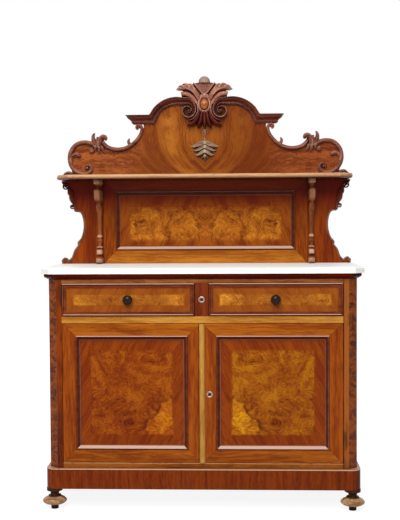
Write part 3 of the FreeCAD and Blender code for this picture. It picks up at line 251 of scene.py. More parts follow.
def surfaced(name):
    """A new material, with its shader's sockets and the place on the piece."""
    material = bpy.data.materials.new(name)
    material.use_nodes = True
    tree = material.node_tree
    return material, tree.nodes["Principled BSDF"].inputs, shader(tree, "TexCoord").outputs["Object"]


# A tone for grime and for painted shade, in hollows and under the shelf.
old_dirt = (0.03, 0.006, 0.003)


def polished(name, paint, coat=0.02, dirt=0.5, reach=0.02, worn=None, shine=0.06):
    """A polished wood: paint gives colour, roughness and height; hollows get grime and painted shade, ridges
    wear and a painted highlight.
    """
    material, surface, place = surfaced(name)
    tree = material.node_tree
    colour, rough, height = paint(place)
    # Hollows are darkened towards this tone: grime, and painted shade where shade falls.
    hollow = shader(tree, "AmbientOcclusion", {"Distance": reach}, samples=6).outputs["AO"]
    if worn:
        # Ridges are turned pale: wear, and a painted highlight where light catches them.
        ridge = shader(tree, "AmbientOcclusion", {"Distance": 0.004}, samples=6, inside=True).outputs["AO"]
        colour = blend(fall(ridge, 0.3, 0.75, 0.5), colour, worn)
    link(surface, {
        "Base Color": blend(fall(hollow, 0.1, 0.8, dirt), colour, old_dirt), "Roughness": rough,
        "Normal": made("Bump", {"Strength": 0.1, "Distance": 0.001, "Height": height}).outputs[0],
        "Coat Weight": coat, "Coat Roughness": 0.2, "Specular IOR Level": shine})
    return material


def plain(name, *grain, **finish):
    """A polished wood of one grain."""
    return polished(name, lambda place: grained(place, *grain), **finish)


def dress(material, *names):
    for name in names:
        for slot in nodes[name].material_slots:
            slot.material = material


def painted(piece, material):
    piece.data.materials.clear()
    piece.data.materials.append(material)
    return piece


def declared(piece, body, slot, *replaced):
    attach(piece, body)
    if replaced:
        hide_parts(*replaced)


foot_profile = drawn([
    (0, 0), (15.5, 0), (15.5, 0), (16, 18.5), (16, 18.5), (30, 19.5), (42.5, 24.3), (48.9, 30.8),
    (49.9, 34.5), (48.2, 38.2), (41.5, 44.5), (32.5, 49.5), (25.5, 52.5), (25.5, 52.5), (26.5, 54.8),
    (25.5, 57), (25.5, 57), (19.5, 58.5), (17.8, 63.5), (19.5, 69.5), (26.5, 73.7), (33, 76.5),
    (33, 76.5), (33, 88), (33, 88), (0, 88)], 5)


def foot_paint(place):
    wood = grained(place, (0.63, 0.38, 0.185), (0.22, 0.094, 0.039), "x", 40)
    high = parted(place)[2]
    peg, neck = fall(high, 0.0165, 0.0195, 0.95), rise(high, 0.0495, 0.0545, 0.95)
    # Peg and neck near black: their stain, and painted shade under the bun and the plinth.
    return tinted(wood, sums("MAXIMUM", peg, neck), (0.025, 0.006, 0.002))


turned_wood = polished("turned_walnut", foot_paint, dirt=0.95, reach=0.04)
foot_place = (0.617, -0.2015, 0)
feet = mirrored(turned("bun_feet", foot_profile, foot_place, up))
declared(painted(feet, turned_wood), "carcass", "walnut", "front_feet")

# Back feet: plain tapered walnut blocks, sawn and left nearly unpolished.
# Glued under the plinth's back corners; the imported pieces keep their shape.
dress(plain("plain_walnut", (0.22, 0.09, 0.035), (0.11, 0.04, 0.016), "z", 26, coat=0.0), "back_feet")


# Plinth: pine boards and rounded corner blocks, veneered in red walnut with the grain upright and polished.
# The top edge is worn to a light line that also carries a painted highlight, and the right end is painted
# darker as shade; the boards are glued between the blocks.
def facing(place):
    """The three parts of the way a surface faces, as it is on the piece at rest."""
    normal = shader(place.id_data, "NewGeometry").outputs["Normal"]
    return parted(made("VectorTransform", {0: normal}, vector_type="NORMAL",
                       convert_from="WORLD", convert_to="OBJECT").outputs[0])


def plinth_paint(place):
    across, _, high = parted(place)
    wood = grained(place, (0.225, 0.036, 0.002), (0.12, 0.014, 0.0008), "z", 90)
    # The right end is painted darker as shade.
    wood = tinted(wood, rise(across, 0.6, 0.65, 0.6), (0.05, 0.005, 0.0004))
    # A pale ragged line on the upward-facing top edge: wear, and a painted highlight.
    worn = times(rise(high, 0.1684, 0.1695), rise(facing(place)[2], 0.8, 0.95, 0.5, 1.0))
    ragged = rise(noise(place, 60, 3), 0.2, 0.4)
    return tinted(wood, times(worn, ragged), (0.66, 0.42, 0.26))


dress(polished("plinth_veneer", plinth_paint), "plinth_frame", "plinth_corner_blocks")

# Bottom board and rails: lighter walnut, planed and polished; the rails are tenoned into the corner posts.
# The middle rail is sun-bleached to ochre; small dark specks show where its finish has worn.
# The posts stand on the board, whose ends carry the veneer of posts and sides on, down to the plinth.
speck_inputs = {"Vector": "Vector", "Color": "Color", "Amount": "Float"}
speck_group, given, result = node_group("worn_specks", speck_inputs, {"Color": "Color"})
flecks = rise(noise(given["Vector"], 90, 2, 0.7), 0.62, 0.72)
clouds = rise(noise(given["Vector"], 14, 2), 0.4, 0.65)
share = times(times(flecks, clouds), given["Amount"])
link(result, {"Color": blend(share, given["Color"], (0.09, 0.028, 0.006))})


def specked(place, wood, amount):
    return (grouped(speck_group, {"Vector": place, "Color": wood[0], "Amount": amount})[0], *wood[1:])


def bleached(name, amount, *grain):
    """A polished wood of one grain, with an amount of dark specks."""
    return polished(name, lambda place: specked(place, grained(place, *grain), amount))


def backed(place, wood, depth, along="z"):
    """A wood in front of a depth, and plain unpolished walnut behind it."""
    behind = grained(place, (0.34, 0.17, 0.07), (0.22, 0.1, 0.04), along, 20)
    return chosen(rise(parted(place)[1], depth, depth + 0.002), wood, behind)


def stirred(vector, scale, amount):
    """A place pushed about by clouds of a scale."""
    push = vectors("SUBTRACT", noise(vector, scale, 2, output=1), half_grey)
    return vectors("ADD", vector, vectors("MULTIPLY", push, (amount, amount, amount)))


def post_paint(place):
    flat = grained(place, (0.26, 0.043, 0.003), (0.07, 0.007, 0.0006), "z", 26)
    wavy = vectors("MULTIPLY", stirred(place, 16, 0.05), (1, 1, 1.7))
    cant = grained(wavy, (0.33, 0.072, 0.006), (0.075, 0.01, 0.001), "y", 30)
    across = parted(place)[0]
    # On the right post only, a light strip painted on the flat as a highlight.
    flat = tinted(flat, rise(across, 0.579, 0.582, 0.6), (0.42, 0.13, 0.022))
    blots = noise(vectors("MULTIPLY", place, (2, 2, 0.6)), 9, 3, 0.6)
    flat = tinted(flat, rise(blots, 0.5, 0.66, 0.75), (0.06, 0.012, 0.003))
    return chosen(rise(size(across), 0.5995, 0.6005), flat, cant)


side_tones = ((0.26, 0.055, 0.006), (0.12, 0.02, 0.002))


def bottom_paint(place):
    across, deep, high = parted(place)
    wood = specked(place, grained(place, (0.34, 0.095, 0.008), (0.14, 0.029, 0.002), "x", 30), 0.8)
    # A pale ragged line on the board's top front edge, worn and painted as its highlight.
    edge = times(rise(high, 0.1905, 0.193), rise(noise(place, 30, 3), 0.25, 0.5))
    middle = backed(place, tinted(wood, edge, (0.48, 0.24, 0.1)), -0.212, "x")
    sides = grained(place, *side_tones, "y", 18)
    ends = chosen(rise(deep, -0.174, -0.172), post_paint(place), sides)
    return chosen(rise(size(across), 0.5755, 0.576), middle, ends)


dress(bleached("ochre_rail", 0.6, (0.6, 0.275, 0.042), (0.37, 0.125, 0.013), "x", 30), "middle_rail")
dress(polished("bottom_rail", bottom_paint), "bottom_board")
dress(bleached("top_rail_wood", 0.8, (0.46, 0.16, 0.036), (0.2, 0.052, 0.011), "x", 30), "top_rail")

# Corner posts: walnut, rebated for the sides, with a canted corner veneered in wavy dark figure.
# They stand on the bottom board and are polished like the doors.
dress(polished("post_veneer", post_paint), "corner_posts")

# Sides and rear posts: plain walnut panels with the grain upright, polished to a deep brown.
# The panels slide into grooves of the corner posts and the rear posts, and are glued there.
dress(plain("side_walnut", *side_tones, "z", 18), "side_panels", "rear_posts")


# Back boards, runners, battens, shelf and carcass top: plain oak, sawn and planed, never polished.
# Nailed and glued inside the case; the four back boards are lapped, so that no light comes through.
def lofted(name, sections):
    """A grid drawn through closed sections, one row for each, merged along its seam and closed at both ends."""
    picked()
    bpy.ops.mesh.primitive_grid_add(x_subdivisions=len(sections[0]), y_subdivisions=len(sections) - 1)
    rows = [point for section in sections for point in (*section, section[0])]
    for vertex, point in zip(bpy.context.object.data.vertices, rows):
        vertex.co = point
    piece = start_edit(name)
    bpy.ops.mesh.remove_doubles(threshold=0.000002)
    bpy.ops.mesh.select_all(action="DESELECT")
    bpy.ops.mesh.select_non_manifold()
    bpy.ops.mesh.fill_holes(sides=0)
    return end_edit(piece)


def joined(name, pieces):
    picked(*pieces)
    bpy.ops.object.join()
    pieces[0].name = name
    return pieces[0]


oak = plain("plain_oak", (0.5, 0.3, 0.13), (0.34, 0.18, 0.075), "x", 24, coat=0.0)
oak_upright = plain("plain_oak_upright", (0.46, 0.27, 0.12), (0.3, 0.16, 0.065), "z", 20, coat=0.0)
oak_deep = plain("plain_oak_deep", (0.52, 0.31, 0.14), (0.36, 0.19, 0.08), "y", 24, coat=0.0)
case_half, case_back, case_top = 0.636, 0.2555, 0.953
joints = (-case_half, -0.3182, 0, 0.3182, case_half)
plank_front, lap_front, lap_back, lap, play = 0.2435, 0.2493, 0.2497, 0.006, 0.0005
planks = []
for index, (left, right) in enumerate(zip(joints, joints[1:])):
    starts, ends = left + (play if index > 0 else 0), right - (play if index < 3 else 0)
    lap_starts, lap_ends = starts + (lap if index > 0 else 0), ends + (lap if index < 3 else 0)
    section = [(starts, plank_front), (ends, plank_front), (ends, lap_back), (lap_ends, lap_back),
               (lap_ends, case_back), (lap_starts, case_back), (lap_starts, lap_front), (starts, lap_front)]
    planks.append(lofted("plank", [[(x, y, z) for x, y in section] for z in (0.172, case_top)]))
back = joined("lapped_back_boards", planks)
declared(painted(back, oak_upright), "carcass", "plain_oak", "back_boards")
dress(oak, "inner_shelf", "carcass_top")
dress(oak_deep, "drawer_runners", "shelf_battens")

# Doors: mitred walnut frames, each member's grain along its length, polished to an orange brown.
# Glued up with tongues and swung on pins at the outer corners.
zone_inputs = {key: "Vector" for key in ("Vector", "Low", "High", "Low Width", "High Width")}
zone_outputs = {"Stile": "Float", "Joint": "Float", "Inset": "Float"}
zone_group, given, result = node_group("frame_zone", zone_inputs, zone_outputs)
from_low = vectors("SUBTRACT", given["Vector"], given["Low"])
from_high = vectors("SUBTRACT", given["High"], given["Vector"])
in_across, _, in_up = parted(vectors(
    "MINIMUM", vectors("DIVIDE", from_low, given["Low Width"]),
    vectors("DIVIDE", from_high, given["High Width"])))
link(result, {
    "Stile": sums("LESS_THAN", in_across, in_up),
    "Joint": fall(gap(in_across, in_up), 0, 0.05),
    "Inset": sums("MINIMUM", in_across, in_up)})


def zoned(vector, edges):
    """Shares of a frame between two corners: where its stiles are, its mitres, and how far in a place is."""
    corners = zip(("Low", "High", "Low Width", "High Width"), edges)
    return grouped(zone_group, {"Vector": vector, **{key: (x, 1, z) for key, (x, z) in corners}})


def folded(place, shift=0):
    """The place with both halves of the front laid over each other, and the left one's figure shifted."""
    across, deep, high = parted(place)
    left = times(sums("LESS_THAN", across, 0), shift)
    return combined(size(across), sums("ADD", deep, left), high)


def shelf_shadowed(vector, wood):
    """A wood with the shelf's shadow painted on it, close under the gallery's shelf."""
    return tinted(wood, rise(parted(vector)[2], 1.19, 1.345, 0.88), (0.15, 0.005, 0.0015))


def frame_paint(edges, stile, rail, depth, shift):
    """A frame's paint; edges are its low and high corners and the widths of its members there."""
    def paint(place):
        vector = folded(place, shift)
        zone = zoned(vector, edges)
        wood = chosen(zone["Stile"], grained(vector, *rail, "x", 20),
                      grained(vector, *stile, "z", 20))
        wood = tinted(wood, times(zone["Joint"], 0.45), (0.05, 0.012, 0.003))
        # Close under the shelf, the shelf's shadow is painted on.
        return backed(place, shelf_shadowed(vector, wood), depth)
    return paint


door_edges = ((0.0, 0.197), (0.575, 0.771), (0.058, 0.053), (0.054, 0.05))
door_stile = ((0.36, 0.078, 0.004), (0.19, 0.026, 0.0012))
door_rail = ((0.42, 0.112, 0.006), (0.2, 0.034, 0.0015))
door_frame = frame_paint(door_edges, door_stile, door_rail, depth=-0.198, shift=0.4)
dress(polished("door_frame_walnut", door_frame), "left_door_frame", "right_door_frame")

# Door panels: burl walnut veneer with a cross-band of red walnut all round, laid on pine and polished.
# Both leaves come from one flitch, so each has a golden corner with a dark vein low on its inner side.
burl_inputs = {"Vector": "Vector", "Light": "Color", "Middle": "Color", "Dark": "Color", "Scale": "Float"}
burl_group, given, result = node_group("burl_figure", burl_inputs, wood_outputs)
swirl = stirred(given["Vector"], times(given["Scale"], 0.5), 0.16)
curl = stirred(swirl, times(given["Scale"], 2.0), 0.035)
cloud = noise(curl, given["Scale"], 5, 0.66, 0.6)
fine = noise(curl, times(given["Scale"], 7), 4, 0.75)
tone = sums("ADD", times(cloud, 0.52), times(fine, 0.48))
colour = blend(rise(tone, 0.36, 0.49), given["Dark"], given["Middle"])
colour = blend(rise(tone, 0.47, 0.62), colour, given["Light"])
rings = times(noise(swirl, times(given["Scale"], 1.1), 2, 0.5, 0.4), 16)
rings = fall(sums("PINGPONG", rings, 1), 0.0, 0.4, 0.3)
colour = blend(rings, colour, given["Dark"])
eyes = made("TexVoronoi", {"Vector": curl, "Scale": times(given["Scale"], 5)}).outputs["Distance"]
clusters = rise(noise(given["Vector"], given["Scale"], 2), 0.48, 0.6, 0.75)
eyes = times(fall(eyes, 0.08, 0.3), clusters)
link(result, {
    "Color": blend(eyes, colour, given["Dark"]),
    "Roughness": sums("MULTIPLY_ADD", fine, 0.14, 0.12),
    "Height": sums("SUBTRACT", fine, eyes)})


def burled(vector, light, middle, dark, scale):
    colours = {"Light": (*light, 1), "Middle": (*middle, 1), "Dark": (*dark, 1)}
    return tuple(grouped(burl_group, {"Vector": vector, "Scale": scale, **colours}))


def patch(vector, wood, centre, radius, tall, gold, vein):
    """A light patch of burl round a centre and straight down from it, with a dark vein at its edge."""
    across, _, high = parted(vectors("SUBTRACT", vector, (centre[0], 0, centre[1])))
    far = length(combined(across, 0, sums("MAXIMUM", times(high, tall), 0)))
    ragged = sums("MULTIPLY_ADD", noise(vector, 11, 3, 0.6), 0.13, sums("SUBTRACT", far, 0.065))
    edge = fall(gap(ragged, radius + 0.003), 0.0, 0.012, vein)
    edge = times(edge, rise(noise(vector, 24, 3), 0.3, 0.6))
    light = blend(1, wood[0], (1.5, 1.95, 1.6), "MULTIPLY")
    wood = tinted(wood, fall(ragged, radius - 0.016, radius + 0.002, gold), light)
    return tinted(wood, edge, (0.09, 0.012, 0.002))


def panel_paint(edges, burl, band, marks, depth, scale, shift, breadth, soft):
    """A panel's paint: a burl field inside a leaning cross-band, which meet in a soft line."""
    def paint(place):
        vector = folded(place, shift)
        zone = zoned(vector, edges)
        lean = made("Mapping", {"Vector": vector, "Rotation": (0, 0.45, 0)}).outputs[0]
        border = chosen(zone["Stile"], grained(lean, *band, "z", breadth),
                        grained(lean, *band, "z", breadth * 1.3))
        middle = marks(vector, burled(vector, *burl, scale))
        inset = sums("SUBTRACT", zone["Inset"], soft)
        inset = sums("MULTIPLY_ADD", noise(vector, 40, 3), soft * 2, inset)
        wood = chosen(rise(inset, 0.985 - soft, 1.0 + soft), border, middle)
        line = fall(gap(zone["Inset"], 0.99), 0.0, 0.03, 0.5 - soft)
        wood = tinted(wood, line, (0.1, 0.02, 0.003))
        # Close under the shelf, the shelf's shadow is painted on.
        return backed(place, shelf_shadowed(vector, wood), depth)
    return paint


def door_marks(vector, wood):
    return patch(vector, wood, (0.146, 0.372), radius=0.076, tall=1.0, gold=1.0, vein=0.8)


panel_edges = ((0.058, 0.25), (0.521, 0.721), (0.065, 0.061), (0.062, 0.061))
red_band = ((0.29, 0.052, 0.0025), (0.17, 0.02, 0.0008))
for side, shift, burl in (
        ("left", 0.0, ((0.38, 0.094, 0.003), (0.24, 0.04, 0.0015), (0.1, 0.008, 0.0006))),
        ("right", 0.3, ((0.44, 0.15, 0.004), (0.28, 0.065, 0.002), (0.11, 0.011, 0.001)))):
    door_panel = panel_paint(panel_edges, burl, red_band, door_marks,
                             depth=-0.204, scale=13, shift=shift, breadth=26, soft=0.09)
    dress(polished(side + "_door_burl", door_panel), side + "_door_panel")


# Mouldings round the panels and drawers: dark red walnut, run with a moulding plane, mitred and glued in.
# What faces sideways or down is painted dark as shade, what faces up is painted pale as a highlight; the
# panels' mouldings also have ridges worn pale with a painted highlight.
def moulding_paint(place):
    across, _, high = facing(place)
    wood = grained(place, (0.2, 0.042, 0.012), (0.1, 0.016, 0.005), "x", 40)
    # Faces turned sideways are painted darker as shade.
    wood = tinted(wood, rise(size(across), 0.2, 0.6, 0.65), (0.05, 0.01, 0.005))
    # Faces turned up are painted pale as a highlight.
    wood = tinted(wood, rise(high, 0.15, 0.6, 0.9), (0.66, 0.42, 0.32))
    # Faces turned down are painted near black as shade.
    return tinted(wood, rise(times(high, -1), 0.1, 0.5, 0.85), (0.045, 0.007, 0.003))


panel_moulding = polished("dark_moulding", moulding_paint,
                          coat=0.0, dirt=0.8, reach=0.012, worn=(0.3, 0.14, 0.095))
dress(panel_moulding, "left_door_moulding", "right_door_moulding", "gallery_moulding")
drawer_moulding = polished("drawer_moulding_walnut", moulding_paint, coat=0.0, dirt=0.8, reach=0.012)
dress(drawer_moulding, "left_drawer_moulding", "right_drawer_moulding")

# Closing strip: a half-round walnut strip, bleached to a greenish ochre, with dark specks.
# It covers the joint between the doors and is glued to the right one.
dress(bleached("ochre_strip", 0.95, (0.56, 0.29, 0.06), (0.36, 0.15, 0.024), "z", 40), "closing_strip")


# Drawers: fronts veneered with a long burl field and a red cross-band, on oak boxes.
# The burl is lightest at both ends of each front, most of all at the inner one.
def drawer_marks(vector, wood):
    across = parted(vector)[0]
    out = sums("MULTIPLY_ADD", noise(vector, 20, 2), 0.12, gap(across, 0.3))
    bright = times(rise(out, 0.17, 0.26), rise(across, 0.25, 0.35, 0.55, 1.0))
    return tinted(wood, bright, (1.6, 2.0, 2.0), "MULTIPLY")


drawer_edges = ((0.0295, 0.8025), (0.5755, 0.9365), (0.0435, 0.0445), (0.0475, 0.0455))
drawer_burl = ((0.44, 0.155, 0.014), (0.3, 0.08, 0.007), (0.13, 0.022, 0.002))
drawer_band = ((0.32, 0.08, 0.007), (0.24, 0.05, 0.004))
drawer_front = panel_paint(drawer_edges, drawer_burl, drawer_band, drawer_marks,
                           depth=-0.202, scale=20, shift=0.5, breadth=30, soft=0.1)
dress(polished("drawer_burl", drawer_front), "left_drawer_front", "right_drawer_front")
dress(oak_deep, "left_drawer_box", "right_drawer_box")
dress(oak, "left_drawer_bottom", "right_drawer_bottom")

# Muntin between the drawers: red walnut with the grain upright, polished.
# It is tenoned into the rails above and below, and holds the lock for both drawers.
dress(plain("muntin_walnut", (0.215, 0.036, 0.0065), (0.1, 0.0125, 0.0025), "z", 28), "drawer_muntin")


# Drawer knobs: turned wood stained black and polished to a gloss, with a base ring and a round head.
# A spigot is glued into the drawer front.
def glossy(name, colour, speck, rough, metal=0.0, shine=0.3):
    """A plain hard surface with faint clouds in its colour and polish."""
    material, surface, place = surfaced(name)
    clouds = noise(place, 160, 4, 0.6)
    link(surface, {
        "Base Color": blend(rise(clouds, 0.35, 0.65), colour, speck),
        "Roughness": sums("MULTIPLY_ADD", clouds, 0.1, rough - 0.05),
        "Metallic": metal, "Specular IOR Level": shine})
    return material


case_face, knob_x, knob_z = -0.2195, 0.3025, 0.8695
knob_profile = drawn([
    (0, -14), (5, -14), (5, -14), (5, 0), (5, 0), (14, 0), (14, 0), (14, 2), (12.5, 3.5), (9.8, 5),
    (9.5, 7.5), (13, 9.5), (17.8, 13.8), (20.3, 19.5), (19.6, 25.2), (16.5, 30.2), (11.2, 33.9),
    (5.7, 35.5), (0, 36)], 5)
ebonised = glossy("black_polish", (0.006, 0.003, 0.002), (0.02, 0.008, 0.004), rough=0.06, shine=0.14)
for side, x in (("left", -knob_x), ("right", knob_x)):
    knob = turned(side + "_knob", knob_profile, (x, case_face, knob_z), forward)
    declared(painted(knob, ebonised), side + "_drawer", "ebonised", side + "_drawer_knob")

# Escutcheons: pale brass eyelets, stamped with a rolled rim.
# Pressed into the muntin and the right door round the keyholes.
eyelet_profile = drawn([
    (6.5, -2), (6.5, -2), (14, -2), (14, -2), (14, 0.6), (12.8, 2.1), (10.5, 3), (8.5, 2.7), (6.5, 1.2),
    (6.5, 1.2), (6.5, -2), (6.5, -2)], 4)
brass = glossy("pale_brass", (0.44, 0.32, 0.25), (0.26, 0.17, 0.13), rough=0.45, metal=1.0)
for name, body, x, z in (("drawer_lock_escutcheon", "carcass", 0, knob_z),
                         ("door_lock_escutcheon", "right_door", 0.031, 0.479)):
    eyelet = turned(name.replace("escutcheon", "eyelet"), eyelet_profile, (x, case_face, z), forward, steps=40)
    declared(painted(eyelet, brass), body, "brass", name)

# Locks, pins and sockets: plain iron, filed flat and darkened with age.
# Let into the wood and screwed; the pins of the doors turn in their sockets.
iron = glossy("dark_iron", (0.085, 0.075, 0.068), (0.05, 0.04, 0.034), rough=0.5, metal=1.0)
dress(iron, "door_pivot_pins", "left_door_sockets", "right_door_sockets", "drawer_lock_case", "door_lock_case",
      "door_lock_bolt", "left_drawer_lock_bolt", "right_drawer_lock_bolt")

# Top moulding: walnut stained nearly black, a cove under a rounded nose, planed and mitred at the cants.
# Glued round the case's top edge, it carries the marble's overhang.
nose_profile = drawn([
    (-23, 0), (-23, 0), (0, 0), (0, 0), (3, 1.2), (8.5, 4), (12.5, 7.2), (12.5, 7.2), (16.5, 8.8),
    (18.6, 12.5), (19, 17), (18.5, 21.5), (17.5, 23.5), (17.5, 23.5), (-23, 23.5), (-23, 23.5)], 4)
cant, mitre = 0.036, math.sqrt(2) - 1
corners = {
    "back": lambda out: (case_half + out, case_back),
    "side": lambda out: (case_half + out, case_face + cant - mitre * out),
    "front": lambda out: (case_half - cant + mitre * out, case_face - out)}
sections = []
for side, corner in ((-1, "back"), (-1, "side"), (-1, "front"), (1, "front"), (1, "side"), (1, "back")):
    places = [(*corners[corner](out), case_top + high) for out, high in nose_profile]
    sections.append([(side * x, y, z) for x, y, z in places])
cove_wood = plain("cove_walnut", (0.095, 0.0065, 0.003), (0.04, 0.0025, 0.001), "x", 30, coat=0.0, shine=0.02)
declared(painted(lofted("cove_moulding", sections), cove_wood), "carcass", "red_walnut", "top_moulding")


# Marble top: a slab of white marble, sawn, its front edge rounded and all faces polished.
# It lies loose on the case, held by its weight.
def marble_paint(place):
    veins = noise(stirred(place, 4, 0.3), 5, 5, 0.6)
    veins = fall(gap(veins, 0.5), 0, 0.03)
    rough = sums("MULTIPLY_ADD", veins, 0.06, 0.4)
    return blend(times(veins, 0.12), (0.96, 0.955, 0.92), (0.66, 0.64, 0.6)), rough, rough


dress(polished("white_marble", marble_paint, coat=0.0, dirt=0.0), "marble_top")

# Gallery: a mitred walnut frame round a book-matched burl panel, standing on the marble.
# Two leaves of one flitch meet in the middle, inside a red cross-band.
gallery_half, gallery_foot, shelf_under, plain_back = 0.461, 1.0, 1.376, 0.253
gallery_edges = ((-gallery_half, gallery_foot), (gallery_half, shelf_under), (0.054, 0.06), (0.054, 0.049))
gallery_stile = ((0.35, 0.078, 0.004), (0.16, 0.025, 0.0015))
gallery_rail = ((0.52, 0.18, 0.017), (0.28, 0.07, 0.006))
gallery_frame = frame_paint(gallery_edges, gallery_stile, gallery_rail, depth=plain_back, shift=0.0)
dress(polished("gallery_frame_walnut", gallery_frame), "gallery_frame")


def gallery_marks(vector, wood):
    wood = patch(vector, wood, (0.092, 1.176), radius=0.07, tall=1.0, gold=0.25, vein=0.6)
    return patch(vector, wood, (0.27, 1.17), radius=0.08, tall=0.9, gold=0.45, vein=0.15)


field_edges = ((-0.407, 1.06), (0.407, 1.327), (0.062, 0.045), (0.062, 0.067))
field_burl = ((0.58, 0.185, 0.014), (0.35, 0.084, 0.007), (0.1, 0.012, 0.001))
field_band = ((0.36, 0.085, 0.006), (0.19, 0.028, 0.002))
gallery_field = panel_paint(field_edges, field_burl, field_band, gallery_marks,
                            depth=0.248, scale=18, shift=0.0, breadth=26, soft=0.22)
dress(polished("gallery_burl", gallery_field), "gallery_panel")


# Wings: walnut boards either side of the gallery, fretted to a scrolled outline and dowelled to its frame.
# A carved bead follows the outer edge, curling into volutes at top and bottom.
def board(name, outline, front, back):
    """A flat board: a filled circle pulled to the outline, extruded to its thickness."""
    picked()
    bpy.ops.mesh.primitive_circle_add(vertices=len(outline), fill_type="NGON")
    for vertex, (x, z) in zip(bpy.context.object.data.vertices, outline):
        vertex.co = (x, front, z)
    piece = start_edit(name)
    bpy.ops.mesh.extrude_region_move(TRANSFORM_OT_translate={"value": (0, back - front, 0)})
    return end_edit(piece, 0.5)


bead_section = [
    (-0.5, 0), (-0.5, 0.28), (-0.43, 0.6), (-0.3, 0.86), (-0.12, 0.98), (0.02, 1), (0.16, 0.94),
    (0.26, 0.78), (0.33, 0.62), (0.4, 0.6), (0.47, 0.5), (0.5, 0.3), (0.5, 0)]


def along_line(line):
    """Each point of a line, with the way the line runs there."""
    for index, point in enumerate(line):
        before, after = line[max(index - 1, 0)], line[min(index + 1, len(line) - 1)]
        yield point, Vector((after[0] - before[0], after[1] - before[1])).normalized()


def bead(name, line, front, width, proud, flip=1):
    """A carved bead along a line of (x, z, size share), with its quirk on one side."""
    sections = []
    for (x, z, share), along in along_line(line):
        wide, high = width * share * flip, proud * (1 + share) / 2 * min(1, share * 6)
        sections.append([(x - along.y * side * wide, front - out * high, z + along.x * side * wide)
                         for side, out in bead_section])
    return lofted(name, sections)


def volute(name, centre, radius, start, turns, width, proud, steps=22, shrink=0.42):
    """A bead that winds in round a centre, and the button in its middle."""
    line = []
    for step in range(int(steps * abs(turns)) + 1):
        gone = step / steps / abs(turns)
        turn = math.radians(start) + math.tau * turns * gone
        reach = radius * (1 - (1 - shrink) * gone)
        line.append((centre[0] + reach * math.cos(turn), centre[1] + reach * math.sin(turn), 1 - 0.55 * gone))
    winding = bead(name, line, gallery_front, width, proud, -1 if turns > 0 else 1)
    dome = through([
        (0, -0.001), (0.4, -0.001), (0.4, -0.001), (0.4, 0.4), (0.33, 0.8), (0.18, 0.97), (0, 1.0)], 3)
    dome = [(share * radius, out * proud) for share, out in dome]
    eye = turned("eye", dome, (centre[0], gallery_front, centre[1]), forward, steps=24)
    return joined(name, [winding, eye])


def leaf(name, path, front, width, proud, lobes=3.0, lift=0.35):
    """A carved leaf along a bent path: a ridge with flutes, scalloped sides and a tip that rolls forward."""
    base, bend, tip = (Vector(point) for point in path)
    sections = []
    count = 26
    for step in range(count + 1):
        gone = step / count
        place = base * (1 - gone) ** 2 + bend * (2 * gone * (1 - gone)) + tip * gone ** 2
        along = ((bend - base) * (1 - gone) + (tip - bend) * gone).normalized()
        body = math.sin(math.pi * min(1, 0.16 + gone * 0.86)) ** 0.62
        scallop = 1 + 0.16 * math.cos(math.tau * (lobes * gone + 0.1))
        half = max(width / 2 * body * scallop, 0.0004)
        high = proud * (0.45 + 0.55 * math.sin(math.pi * (0.22 + 0.62 * gone))) + proud * lift * gone ** 3
        high *= min(1, 0.25 + 3.0 * (1 - gone))
        ring = []
        for turn in range(-8, 9):
            side = turn / 8
            flute = 0.80 + 0.2 * math.cos(side * math.tau * 1.5)
            out = high * (1 - abs(side) ** 2.6) ** 0.55 * flute
            ring.append((place.x - along.y * side * half, front - out, place.y + along.x * side * half))
        ring.append((place.x - along.y * 0.3 * half, front + 0.001, place.y + along.x * 0.3 * half))
        sections.append(ring)
    return lofted(name, sections)


def flipped(piece, angle):
    """A copy with its own mesh, on the other side of the middle."""
    picked(piece)
    bpy.ops.object.duplicate()
    twin = bpy.context.object
    twin.scale = (-1, 1, 1)
    bpy.ops.object.transform_apply(location=False, rotation=False, scale=True)
    start_edit(twin.name)
    return end_edit(twin, angle)


gallery_front = 0.2335
wing_edge = drawn([
    (655, 1000), (655.5, 1012), (648, 1024), (636.5, 1021.5), (629.5, 1013.5), (622.5, 1016.5),
    (610, 1030), (598.5, 1060.5), (584, 1079), (581.5, 1081), (581.5, 1081), (583.5, 1093),
    (581.5, 1099.5), (581.5, 1099.5), (567, 1116), (556.5, 1150), (554.5, 1182), (559, 1212),
    (569.5, 1234), (583, 1239.5), (592.5, 1240), (598.5, 1244), (598.5, 1244), (597, 1262), (602, 1274),
    (610.5, 1280), (619, 1296), (620.5, 1320), (621.5, 1345), (628, 1361.5), (640, 1362.5), (649, 1364),
    (655, 1376)], 4)
wing_board = board("wing", [(gallery_half, shelf_under), (gallery_half, gallery_foot), *wing_edge],
                   gallery_front, case_back)
wing_carving = joined("wing_carving", [
    bead("wing_bead", [(x - 0.0035, z, 1.0) for x, z in wing_edge], gallery_front + 0.001,
         width=0.009, proud=0.0075),
    volute("top_curl", (0.634, 1.351), radius=0.0135, start=60, turns=-1.2, width=0.008, proud=0.012),
    volute("mid_curl", (0.606, 1.261), radius=0.0125, start=100, turns=1.2, width=0.008, proud=0.011),
    volute("low_curl", (0.6465, 1.0135), radius=0.0095, start=-80, turns=1.1, width=0.0065, proud=0.009),
    leaf("corbel_leaf", ((0.626, 1.352), (0.604, 1.31), (0.596, 1.25)), gallery_front,
         width=0.026, proud=0.011)])
# Both wing materials carry the shelf's painted shadow at their top.
wing_edge_wood = polished("wing_edge_walnut", lambda place: shelf_shadowed(place, grained(
    place, (0.34, 0.16, 0.1), (0.14, 0.05, 0.03), "z", 34)), coat=0.08, dirt=0.9, reach=0.014)
wing_wood = polished("wing_walnut", lambda place: backed(place, shelf_shadowed(place, grained(
    place, (0.32, 0.055, 0.003), (0.15, 0.018, 0.001), "z", 18)), plain_back))
right_pieces = [painted(wing_board, wing_wood), painted(wing_carving, wing_edge_wood)]
left_pieces = [flipped(piece, 0.6) for piece in right_pieces]
for side, pieces in (("right", right_pieces), ("left", left_pieces)):
    declared(joined(side + "_scrolled_wing", pieces), "carcass", "carved_walnut", side + "_wing")
